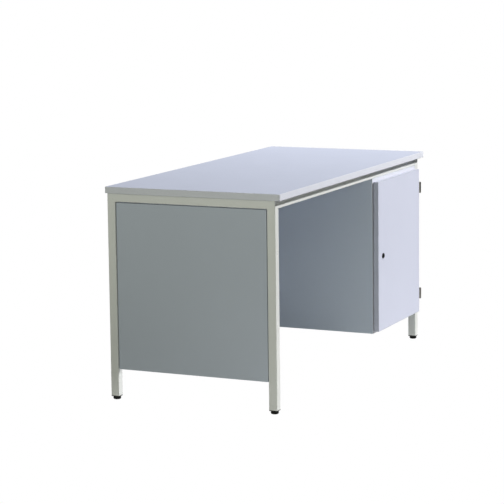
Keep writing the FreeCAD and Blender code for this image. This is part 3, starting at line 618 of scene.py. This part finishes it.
def moulded(slot, base, roughness):
    """Moulded plastic or rubber with a fine spark-eroded grain."""
    paint = Shader(slot, roughness=roughness, specular=0.25)
    paint.set(paint.tints(paint.noise(90, 3, 0.6), base, 0.85, 1.2),
              paint.bump(paint.noise(1400, 2, 0.5), 0.00005),
              paint.spread(paint.noise(300, 3, 0.6), roughness * 0.85, roughness * 1.15))


def turned_beech(slot, base):
    """Beech with fine grain along X, the way the dowels lie."""
    paint = Shader(slot, roughness=0.6)
    grain = paint.noise(90, 5, 0.6, paint.stretched((1, 14, 14)))
    paint.set(paint.tints(grain, base, 0.8, 1.2), paint.bump(grain, 0.00008))


# Operators


class DeskOperator:
    """What every operator here has."""
    bl_options = {"REGISTER", "UNDO"}

    @property
    def sizes(self):
        return bpy.context.scene.desk_sizes


class DESK_OT_finishes(DeskOperator, bpy.types.Operator):
    """Makes the desk's materials and puts them on the frame's nodes"""
    bl_idname = "desk.finishes"
    bl_label = "Finishes"

    def execute(self, context):
        c = context.scene.desk_colours
        laminate("tabletop_laminate", c.top)
        edge_band("tabletop_band", c.top_band_and_sheen)
        laminate("panel_melamine", c.panel)
        laminate("cabinet_melamine", c.cabinet)
        edge_band("cabinet_band", c.cabinet_band)
        laminate("door_melamine", c.door)
        edge_band("door_band", c.door_band)
        enamel("frame_enamel", c.enamel)
        moulded("foot_plastic", c.plastic, 0.5)
        moulded("buffer_rubber", c.rubber, 0.6)
        plated("hinge_nickel", c.nickel, 0.34)
        plated("zinc_plate", c.zinc, 0.36)
        plated("screw_zinc", c.zinc, 0.32)
        plated("lock_metal", c.lock, 0.3)
        turned_beech("dowel_beech", c.beech)
        for name, obj in frame["nodes"].items():
            for holder in obj.material_slots:
                holder.material = material(SLOTS[name])
        return {"FINISHED"}


class DESK_OT_edge_bands(DeskOperator, bpy.types.Operator):
    """Builds the edge bands: round-edged with a glue line on the top and the door, plain on the boards"""
    bl_idname = "desk.edge_bands"
    bl_label = "Edge bands"

    def execute(self, context):
        s = self.sizes
        ease = 0.3 * MM
        low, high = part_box("tabletop_edge_band")
        flat = Matrix.Translation((0, 0, low.z))
        self.round_edged("top_edge_band", "tabletop_edge_band", low.xy, high.xy, high.z - low.z,
                         s.top_corner, 6, flat)
        low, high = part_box("door_edge_band")
        upright = Matrix.Translation((0, high.y, 0)) @ Matrix.Rotation(math.pi / 2, 4, "X")
        self.round_edged("door_band", "door_edge_band", low.xz, high.xz, high.y - low.y,
                         s.door_corner, 3, upright)
        cupboard = ("cabinet_side_left", "cabinet_side_right", "cabinet_top", "cabinet_bottom")
        for node, boards in (("cabinet_edge_bands", cupboard), ("shelf_edge_band", ("shelf",))):
            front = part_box(node)[0].y
            bm = bmesh.new()
            for board in boards:
                low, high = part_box(board)
                box(bm, (low.x, front, low.z), (high.x, low.y, high.z), ease)
            stand_in(shape(node.replace("edge", "front"), bm), node)
        return {"FINISHED"}

    def round_edged(self, name, node, low, high, height, corner, steps, matrix):
        """A band round a board, from two corners in the board's plane and the board's thickness."""
        s = self.sizes
        ease, seam = s.band_ease, s.seam
        inset = Vector((s.band, s.band))
        outline = rounded_rectangle(low + inset, high - inset, corner - s.band, steps)
        section = [(0, seam), (seam, 0), *arc((s.band - ease, ease), ease, -90, 0, 4),
                   *arc((s.band - ease, height - ease), ease, 0, 90, 4), (seam, height), (0, height - seam)]
        bm = bmesh.new()
        hem(bm, outline, section, matrix)
        stand_in(shape(name, bm), node)


class DESK_OT_tubes(DeskOperator, bpy.types.Operator):
    """Builds the legs and rails as hollow tube with round corners"""
    bl_idname = "desk.tubes"
    bl_label = "Legs and rails"

    def execute(self, context):
        s = self.sizes
        for node in sorted(n for n in frame["nodes"] if n.startswith(("leg_", "rail_"))):
            low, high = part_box(node)
            size = high - low
            along = longest(size)
            half = min(size) / 2
            reach = size[along] / 2
            outer = tube_outline(half, s.tube_corner)
            inner = tube_outline(half - s.tube_wall, s.tube_corner - s.tube_wall)
            bm = bmesh.new()
            stack(bm, [(outer, -reach), (outer, reach), (inner, reach), (inner, -reach)],
                  towards((low + high) / 2, (X, Y, Z)[along]), "joined")
            stand_in(shape(f"tube_{node}", bm), node)
        return {"FINISHED"}


class DESK_OT_welds(DeskOperator, bpy.types.Operator):
    """Fills the joints of the frame: ground flush outside, rippled beads inside and on the tabs"""
    bl_idname = "desk.welds"
    bl_label = "Welds"

    def execute(self, context):
        s = self.sizes
        tuck = s.tube_corner * 0.25
        fills = bmesh.new()
        paths = []
        for rail in ("rail_front", "rail_rear", "rail_left", "rail_right"):
            low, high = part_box(rail)
            size = high - low
            lengthwise, across = (X, Y) if size.x > size.y else (Y, X)
            outward = across if (low + high).dot(across) > 0 else -across
            side = size.dot(across)
            flat = side - s.tube_corner
            for end in (-1, 1):
                into = lengthwise * -end
                corner = (low + high) / 2 + lengthwise * (end * size.dot(lengthwise) / 2) + outward * side / 2
                corner.z = low.z
                self.fill(fills, corner, into, outward, high.z - low.z)
                paths.append((corner - outward * s.tube_corner, corner - outward * flat))
                inner = corner - outward * (side - tuck) - into * tuck
                paths.append((inner + Z * s.tube_corner, inner + Z * flat))
        fit_to(shape("ground_welds", fills), "frame", "frame_enamel")
        self.beads(paths + self.tab_paths())
        return {"FINISHED"}

    def fill(self, bm, corner, into, outward, height):
        """The ground weld in the hollow between a rail's end and the leg's round corner."""
        sink = self.sizes.weld_sink
        r = self.sizes.tube_corner
        hollow = [(0, sink), (0, r), *arc((-r, r), r, 0, -90, 6)[1:-1], (sink - r, sink)]
        skin(bm, [[corner + into * u - outward * v + Z * z for u, v in hollow] for z in (r, height - sink)])

    def tab_paths(self):
        """The line where each tab meets its tube, as pairs of end points."""
        near, margin = 3 * MM, 2 * MM
        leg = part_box("leg_front_left")[1]
        inner_faces = ((leg.x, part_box("leg_front_right")[0].x), (leg.y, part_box("leg_rear_left")[0].y))
        paths = []
        for node in ("panel_tabs", "top_tabs", "hanger_tabs"):
            for low, high in boxes(node):
                thin = min(range(3), key=lambda i: (high - low)[i])
                free = Vector([a if a + b > 0 else b for a, b in zip(low, high)])
                free.z = {"top_tabs": low.z, "hanger_tabs": high.z}.get(node, free.z)
                for axis, planes in enumerate(inner_faces):
                    touching = [p for p in planes if min(abs(low[axis] - p), abs(high[axis] - p)) < near]
                    if not touching or thin == axis:
                        continue
                    run = 3 - thin - axis
                    one = free.copy()
                    one[axis] = touching[0]
                    other = one.copy()
                    one[run] = low[run] + margin
                    other[run] = high[run] - margin
                    paths.append((one, other))
        return paths

    def beads(self, paths):
        s = self.sizes
        ends = [point for path in paths for point in path]
        mesh = bpy.data.meshes.new("weld_beads")
        mesh.from_pydata(ends, [(i, i + 1) for i in range(0, len(ends), 2)], [])
        obj = add_object("weld_beads", mesh)
        run_tree(obj, beads_tree(), Radius=s.bead, Pitch=s.bead_pitch, Seed=s.ripple_seed,
                 Finish=material("frame_enamel"))
        fit_to(obj, "frame", "frame_enamel", sharp=60)


class DESK_OT_feet(DeskOperator, bpy.types.Operator):
    """Builds the moulded feet: plug, square flange, and a glide with a groove round it"""
    bl_idname = "desk.feet"
    bl_label = "Feet"

    def execute(self, context):
        s = self.sizes
        groove, chamfer, neck = 0.5 * MM, 0.6 * MM, 2 * MM
        inset = s.tube_wall + 0.2 * MM
        r = s.foot_radius
        for node in sorted(n for n in frame["nodes"] if n.startswith("foot_")):
            low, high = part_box(node)
            half = (high.x - low.x) / 2
            centre = Matrix.Translation(((low.x + high.x) / 2, (low.y + high.y) / 2, 0))
            leg_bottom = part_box(node.replace("foot_", "leg_"))[0].z
            under = leg_bottom - s.flange
            groove_low, groove_high = under * 0.62, under * 0.8
            glide = [(0, 0), *arc((r - s.foot_round, s.foot_round), s.foot_round, -90, 0, 8),
                     (r, groove_low), (r - groove, groove_low + groove), (r - groove, groove_high),
                     (r, groove_high + groove), (r, under), (r - neck, under + MM), (0, under + MM)]
            full = tube_outline(half, s.tube_corner)
            small = tube_outline(half - chamfer, s.tube_corner - chamfer)
            bm = bmesh.new()
            lathe(bm, glide, centre, 56)
            stack(bm, [(small, under), (full, under + chamfer), (full, leg_bottom)], centre)
            box(bm, (low.x + inset, low.y + inset, leg_bottom), (high.x - inset, high.y - inset, high.z),
                0.8 * MM, 2)
            stand_in(shape(f"glide_{node}", bm), node)
        return {"FINISHED"}


class DESK_OT_screws(DeskOperator, bpy.types.Operator):
    """Builds the screws with cross recesses, and the bolts and nuts that hang the cupboard"""
    bl_idname = "desk.screws"
    bl_label = "Screws, bolts and nuts"

    def execute(self, context):
        turn_each = 0.7
        rows = {"panel_screws": False, "top_screws": False, "hinge_cabinet_screws": True,
                "hinge_door_screws": True, "strike_screws": True}
        for node, countersunk in rows.items():
            screws = solids(node)
            places = [(*self.head(points), turn_each * i) for i, points in enumerate(screws)]
            low, high = corners(screws[0])
            source = self.screw(max(high - low), countersunk)
            copies(node.replace("screws", "screw_set"), source, places, node)
        for node in ("hanger_bolts", "hanger_nuts"):
            found = boxes(node)
            size = found[0][1] - found[0][0]
            bm = bmesh.new()
            if node == "hanger_bolts":
                self.bolt(bm, size.x / 2, size.z)
            else:
                hexagon(bm, size.x / 2, size.z, hole=3.05 * MM)
            places = [((low + high) / 2 - Z * size.z / 2, Z, 0.0) for low, high in found]
            copies(node.rstrip("s") + "_set", shape("hanger_shape", bm), places, node)
        return {"FINISHED"}

    def head(self, points):
        """The middle of a screw's head face, and the way that it faces."""
        low, high = corners(points)
        along = longest(high - low)
        axis = (X, Y, Z)[along]
        middle = (low + high) / 2
        spreads = {}
        for way, plane in ((-1, low[along]), (1, high[along])):
            ring = [p - middle for p in points if abs(p[along] - plane) < 1e-5]
            spreads[way] = max((p - axis * p[along]).length for p in ring)
        facing = axis * max(spreads, key=spreads.get)
        return middle + facing * (high - low)[along] / 2, facing

    def screw(self, reach, countersunk):
        """A screw along -Z with its head's face at the origin."""
        head, shank, deep, dome = 3.6 * MM, 2 * MM, 1.6 * MM, 1.28 * MM
        core, pitch, plain, tip, sunk = shank * 0.72, 1.2 * MM, 0.8 * MM, 0.3 * MM, 0.05 * MM
        if countersunk:
            profile = [(0, -sunk), (head - 0.3 * MM, -sunk), (head, -0.25 * MM), (shank, -deep)]
        else:
            profile = [(0, 0), *arc((head - dome, -dome), dome, 90, 0, 6), (head, -deep), (shank, -deep)]
        for i in range(int((reach - deep - 4 * MM) / pitch)):
            start = -deep - plain - i * pitch
            profile += [(core, start), (shank, start - pitch / 2)]
        profile += [(core, -reach + 3 * MM), (tip, -reach), (0, -reach)]
        screw = turned("screw_shape", profile)
        wide, thin = 2.1 * MM, 0.45 * MM
        cross = bmesh.new()
        for x, y in ((wide, thin), (thin, wide)):
            box(cross, (-x, -y, -self.sizes.recess), (x, y, MM))
        carve(screw, cross)
        return screw

    def bolt(self, bm, corner, tall):
        """A hexagon bolt that points up."""
        head, radius, pitch, deep, overlap = 4 * MM, 3 * MM, 1 * MM, 0.35 * MM, 0.5 * MM
        hexagon(bm, corner, head)
        profile = [(0, head - overlap), (radius, head - overlap)]
        for i in range(int((tall - head) / pitch)):
            start = head + i * pitch
            profile += [(radius, start + 0.1 * pitch), (radius - deep, start + 0.5 * pitch)]
        profile += [(radius - deep, tall), (0, tall)]
        lathe(bm, profile)


class DESK_OT_hinges(DeskOperator, bpy.types.Operator):
    """Builds the butt hinges: rolled leaves with countersunk holes, and headed pins"""
    bl_idname = "desk.hinges"
    bl_label = "Hinges"

    def execute(self, context):
        axis = joint_place("door_hinge")
        for side in ("upper", "lower"):
            pin = f"hinge_{side}_pin"
            self.leaf(f"hinge_{side}_fixed_leaf", pin, axis, 1)
            self.leaf(f"hinge_{side}_door_leaf", pin, axis, -1)
            self.pin(pin, axis)
        return {"FINISHED"}

    def leaf(self, node, pin, axis, way):
        """A leaf whose plate stands at the axis's +X or -X side, with the sheet rolled round the pin."""
        outer, sheet, bore, clear, overlap = 5.5 * MM, 2 * MM, 3.05 * MM, 6 * MM, 0.3 * MM
        half_knuckle, gap = 6.4 * MM, 0.6 * MM
        low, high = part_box(node)
        middle = sum(corner.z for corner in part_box(pin)) / 2
        spans = [(middle - half_knuckle, middle + half_knuckle)]
        if way > 0:
            spans = [(low.z, spans[0][0] - gap), (spans[0][1] + gap, high.z)]
        first, sweep = (0, -335) if way > 0 else (180, 335)
        outline = [(way * outer, clear + overlap), *arc((0, 0), outer, first, first + sweep, 40),
                   *arc((0, 0), bore, first + sweep, first, 40), (way * (outer - sheet), clear + overlap)]
        face = axis.x + way * outer
        back = face - way * sheet
        plate = bmesh.new()
        box(plate, (min(face, back), axis.y + clear, low.z), (max(face, back), high.y, high.z), 0.25 * MM, 2)
        leaf = shape(node.replace("leaf", "plate"), plate)
        screws = "hinge_cabinet_screws" if way > 0 else "hinge_door_screws"
        carve(leaf, countersinks(screws, face, low.z, high.z))
        bm = bmesh.new()
        for span in spans:
            stack(bm, [(outline, height) for height in span], Matrix.Translation((axis.x, axis.y, 0)))
        bm.from_mesh(leaf.data)
        discard(leaf)
        stand_in(shape(f"{node}_rolled", bm), node, sharp=32)

    def pin(self, node, axis):
        low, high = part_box(node)
        cap, shaft, ease = 1.2 * MM, 3 * MM, 0.7 * MM
        radius = (high.x - low.x) / 2
        profile = [(0, high.z), *arc((radius - ease, high.z - ease), ease, 90, 0, 5),
                   (radius, high.z - cap), (shaft, high.z - cap), (shaft, low.z + cap), (radius, low.z + cap),
                   *arc((radius - ease, low.z + ease), ease, 0, -90, 5), (0, low.z)]
        stand_in(turned(f"{node}_headed", profile, Matrix.Translation((axis.x, axis.y, 0)), 32), node)


class DESK_OT_lock(DeskOperator, bpy.types.Operator):
    """Builds the lock: housing, nut, plug with its key slot, cam, cam screw, and the strike it turns behind"""
    bl_idname = "desk.lock"
    bl_label = "Lock and strike"

    def execute(self, context):
        axis = joint_place("lock_turn")
        for node, build in (("lock_housing", self.housing), ("lock_nut", self.nut), ("lock_plug", self.plug),
                            ("lock_cam", self.cam), ("lock_cam_screw", self.cam_screw)):
            low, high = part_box(node)
            facing = towards(Vector((axis.x, high.y, axis.z)), -Y)
            build(axis, low, high, facing, (high.x - low.x) / 2, high.y - low.y)
        self.strike()
        return {"FINISHED"}

    def housing(self, axis, low, high, facing, rim, front):
        pitch = self.sizes.thread
        barrel, bore, deep, bead, start = 8 * MM, 6.05 * MM, 0.4 * MM, 0.9 * MM, 0.5 * MM
        back = high.y - axis.y
        profile = [(bore, 0), (barrel - deep, 0)]
        for i in range(int((back - 4 * MM) / pitch)):
            profile += [(barrel - deep, start + i * pitch), (barrel, start + (i + 0.5) * pitch)]
        profile += [(barrel, back - 3 * MM), (barrel, back), (rim, back),
                    *arc((rim - bead, front - bead), bead, 0, 90, 6), (bore + 1.3 * MM, front),
                    (bore + 0.9 * MM, front - 0.35 * MM), (bore + 0.5 * MM, front - 0.1 * MM),
                    (bore, front - deep)]
        stand_in(turned("lock_housing_threaded", profile, facing, 64, "joined"), "lock_housing")

    def nut(self, axis, low, high, facing, corner, tall):
        bm = bmesh.new()
        hexagon(bm, corner, tall, hole=8.05 * MM)
        bmesh.ops.transform(bm, matrix=facing, verts=bm.verts)
        stand_in(shape("lock_nut_chamfered", bm), "lock_nut")

    def plug(self, axis, low, high, facing, radius, reach):
        s = self.sizes
        hole, hole_deep, ease, key_deep, ward = 2.05 * MM, 14 * MM, 0.4 * MM, 8.5 * MM, 0.5 * MM
        profile = [(0, hole_deep), (hole, hole_deep), (hole, 0), (radius, 0), (radius, reach - ease),
                   (radius - ease, reach), (0, reach)]
        plug = turned("lock_plug_slotted", profile, facing, 48)
        half = s.slot / 2
        key = bmesh.new()
        for left, bottom, top in ((half, -0.5, 0.5), (half + ward, 0.1, 0.28)):
            box(key, (axis.x - left, low.y - MM, axis.z + s.slot_height * bottom),
                (axis.x + half, low.y + key_deep, axis.z + s.slot_height * top))
        carve(plug, key)
        stand_in(plug, "lock_plug")

    def cam(self, axis, low, high, facing, half, thick):
        hole, past = 2.05 * MM, 5 * MM
        outline = arc((0, 0), half, 0, 180, 20) + arc((0, low.z - axis.z + half), half, 180, 360, 20)
        bm = bmesh.new()
        stack(bm, [(outline, 0), (outline, thick)], facing)
        soften(bm, 1, 0.3 * MM)
        cam = shape("lock_cam_rounded", bm)
        cutter = bmesh.new()
        lathe(cutter, [(0, -MM), (hole, -MM), (hole, past), (0, past)], facing)
        carve(cam, cutter)
        stand_in(cam, "lock_cam")

    def cam_screw(self, axis, low, high, facing, head, reach):
        tall, shank, ease, half, deep = 2 * MM, 2 * MM, 0.7 * MM, 0.5 * MM, 0.9 * MM
        wide = head + 0.4 * MM
        profile = [(0, 0), *arc((head - ease, ease), ease, -90, 0, 5), (head, tall), (shank, tall),
                   (shank, reach), (0, reach)]
        screw = turned("lock_cam_screw_slotted", profile, facing, 32)
        cut = bmesh.new()
        box(cut, (axis.x - wide, high.y - deep, axis.z - half), (axis.x + wide, high.y + MM, axis.z + half))
        carve(screw, cut)
        stand_in(screw, "lock_cam_screw")

    def strike(self):
        """The bent plate on the cupboard that the cam turns behind."""
        low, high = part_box("lock_strike")
        sheet, bend = 2 * MM, 1.4 * MM
        left, front = low.x + sheet, low.y + sheet
        outline = [*arc((left, front), sheet, 180, 270, 6), (high.x, low.y), (high.x, front),
                   *arc((left + bend, front + bend), bend, 270, 180, 6), (left, high.y), (low.x, high.y)]
        bm = bmesh.new()
        stack(bm, [(outline, low.z), (outline, high.z)], Matrix())
        soften(bm, 2, 0.2 * MM)
        strike = shape("lock_strike_bent", bm)
        carve(strike, countersinks("strike_screws", left, low.z, high.z))
        stand_in(strike, "lock_strike")


class DESK_OT_small_parts(DeskOperator, bpy.types.Operator):
    """Builds the shelf's pegs and the door's buffers"""
    bl_idname = "desk.small_parts"
    bl_label = "Pegs and buffers"

    def execute(self, context):
        self.pegs()
        self.buffers()
        return {"FINISHED"}

    def pegs(self):
        radius, collar, set_in, reach = 2.5 * MM, 4 * MM, 9 * MM, 17 * MM
        ease, edge, nose = 0.5 * MM, 0.2 * MM, 0.8 * MM
        shelf_middle = sum(corner.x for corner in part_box("shelf")) / 2
        places = []
        for low, high in boxes("shelf_pegs"):
            on_left = high.x < shelf_middle
            start = Vector((low.x if on_left else high.x, (low.y + high.y) / 2, (low.z + high.z) / 2))
            places.append((start, X if on_left else -X, 0.0))
        profile = [(0, 0), (radius - ease, 0), (radius, ease), (radius, set_in), (collar - edge, set_in),
                   (collar, set_in + edge), (collar, set_in + MM - edge), (collar - edge, set_in + MM),
                   (radius, set_in + MM), *arc((radius - nose, reach - nose), nose, 0, 90, 4), (0, reach)]
        copies("shelf_peg_set", turned("peg_shape", profile, steps=28), places, "shelf_pegs")

    def buffers(self):
        found = boxes("door_buffers")
        low, high = found[0]
        thick = high.y - low.y
        ease = thick * 0.6
        radius = (high.x - low.x) / 2
        profile = [(0, 0), (radius, 0), *arc((radius - ease, thick - ease), ease, 0, 90, 6), (0, thick)]
        places = [(Vector(((a.x + b.x) / 2, b.y, (a.z + b.z) / 2)), -Y, 0.0) for a, b in found]
        copies("door_buffer_set", turned("buffer_shape", profile, steps=32), places, "door_buffers")


class DESK_OT_studio(DeskOperator, bpy.types.Operator):
    """Sets up the floor, the light and the camera"""
    bl_idname = "desk.studio"
    bl_label = "Studio"

    def execute(self, context):
        studio = context.scene.desk_studio
        context.scene.view_settings.view_transform = "Standard"
        self.world(context.scene, studio)
        for name in ("key", "rim", "back"):
            self.lamp(studio, name)
        self.floor(studio)
        self.camera(context.scene, studio)
        return {"FINISHED"}

    def world(self, scene, studio):
        """Soft light from all round, strongest from the desk's left end. The camera sees plain white."""
        scene.world = bpy.data.worlds.new("studio")
        scene.world.use_nodes = True
        tree = scene.world.node_tree
        node = partial(add_node, tree)
        sky = node("ShaderNodeTexCoord").outputs["Generated"]
        light_from = Vector(studio.fill_from).normalized()
        facing = node("ShaderNodeVectorMath", {0: sky, 1: light_from}, operation="DOT_PRODUCT")
        ahead = node("ShaderNodeMath", {0: facing.outputs["Value"], 1: 0.0}, operation="MAXIMUM")
        side = node("ShaderNodeMath", {0: ahead, 1: studio.fill_focus}, operation="POWER")
        levels = {0: side, 1: studio.fill_side, 2: studio.fill}
        strength = node("ShaderNodeMath", levels, operation="MULTIPLY_ADD")
        soft = node("ShaderNodeBackground", {"Color": (*studio.fill_colour, 1), "Strength": strength})
        plain = node("ShaderNodeBackground", {"Color": (1, 1, 1, 1)})
        self.show(tree, soft, plain, "World Output")

    def show(self, tree, real, seen, output):
        """Ends a tree: one shader lights the desk, the other is what the camera sees."""
        path = add_node(tree, "ShaderNodeLightPath")
        choice = add_node(tree, "ShaderNodeMixShader", {0: path.outputs["Is Camera Ray"], 1: real, 2: seen})
        tree.links.new(choice.outputs[0], tree.nodes[output].inputs["Surface"])

    def lamp(self, studio, name):
        """A round lamp that no surface mirrors."""
        light = bpy.data.lights.new(name, "AREA")
        light.shape = "DISK"
        light.size = getattr(studio, name + "_size")
        light.energy = getattr(studio, name + "_power")
        place_at = Vector(getattr(studio, name + "_at"))
        obj = add_object(name, light)
        obj.location = place_at
        obj.rotation_euler = (Vector(studio.lamp_aim) - place_at).to_track_quat("-Z", "Y").to_euler()
        obj.visible_glossy = False

    def floor(self, studio):
        """A floor whose colour holds painted light and painted shade for the light it throws back up at the
        desk: a pale pool at the desk's front left that fades into a painted dark floor further out. The camera
        sees it as plain white.
        """
        bm = bmesh.new()
        bmesh.ops.create_circle(bm, cap_ends=True, segments=96, radius=studio.floor_radius)
        floor = shape("floor", bm)
        painted_pool = bpy.data.materials.new("studio_floor")
        painted_pool.use_nodes = True
        tree = painted_pool.node_tree
        surface = tree.nodes["Principled BSDF"]
        surface.inputs["Roughness"].default_value = 0.9
        node = partial(add_node, tree)
        on_floor = node("ShaderNodeTexCoord").outputs["Object"]
        # Painted light and shade on the floor: pale inside the pool, fading to dark outside it.
        away = node("ShaderNodeVectorMath", {0: on_floor, 1: studio.painted_pool_at}, operation="DISTANCE")
        edge = node("ShaderNodeMapRange", {"Value": away.outputs["Value"],
                                           "From Min": studio.painted_pool_radius - studio.painted_pool_fade,
                                           "From Max": studio.painted_pool_radius + studio.painted_pool_fade})
        shades = {"Factor": edge, 6: (*studio.painted_pool, 1), 7: (*studio.painted_floor_shade, 1)}
        shade = node("ShaderNodeMix", shades, data_type="RGBA").outputs[2]
        tree.links.new(shade, surface.inputs["Base Color"])
        self.show(tree, surface, node("ShaderNodeEmission"), "Material Output")
        floor.data.materials.append(painted_pool)

    def camera(self, scene, studio):
        lens = bpy.data.cameras.new("camera")
        lens.sensor_width = 36
        lens.lens = studio.lens
        lens.shift_x, lens.shift_y = studio.shift
        lens.clip_start = 0.1
        lens.clip_end = 200
        scene.camera = add_object("camera", lens)
        turn = Matrix.Rotation(-studio.heading, 4, "Z") @ Matrix.Rotation(math.pi / 2 - studio.dip, 4, "X")
        scene.camera.matrix_world = (Matrix.Translation(studio.camera_at) @ turn
                                     @ Matrix.Rotation(studio.roll, 4, "Z"))


OPERATORS = (
    DESK_OT_finishes, DESK_OT_edge_bands, DESK_OT_tubes, DESK_OT_welds, DESK_OT_feet, DESK_OT_screws,
    DESK_OT_hinges, DESK_OT_lock, DESK_OT_small_parts, DESK_OT_studio,
)


class DESK_PT_panel(bpy.types.Panel):
    """Lists the desk's settings and its operators"""
    bl_idname = "DESK_PT_panel"
    bl_label = "Teacher desk"
    bl_space_type = "VIEW_3D"
    bl_region_type = "UI"
    bl_category = "Desk"

    def draw(self, context):
        scene = context.scene
        for group in (scene.desk_sizes, scene.desk_colours, scene.desk_studio):
            column = self.layout.column()
            for name in group.__annotations__:
                column.prop(group, name)
        for operator in OPERATORS:
            self.layout.operator(operator.bl_idname)


CLASSES = (DeskSizes, DeskColours, StudioSettings, *OPERATORS, DESK_PT_panel)


def register():
    for cls in CLASSES:
        bpy.utils.register_class(cls)
    bpy.types.Scene.desk_sizes = PointerProperty(type=DeskSizes)
    bpy.types.Scene.desk_colours = PointerProperty(type=DeskColours)
    bpy.types.Scene.desk_studio = PointerProperty(type=StudioSettings)


def unregister():
    del bpy.types.Scene.desk_studio
    del bpy.types.Scene.desk_colours
    del bpy.types.Scene.desk_sizes
    for cls in reversed(CLASSES):
        bpy.utils.unregister_class(cls)


def main():
    register()
    for operator in OPERATORS:
        group, name = operator.bl_idname.split(".")
        getattr(getattr(bpy.ops, group), name)()


if __name__ == "__main__":
    main()
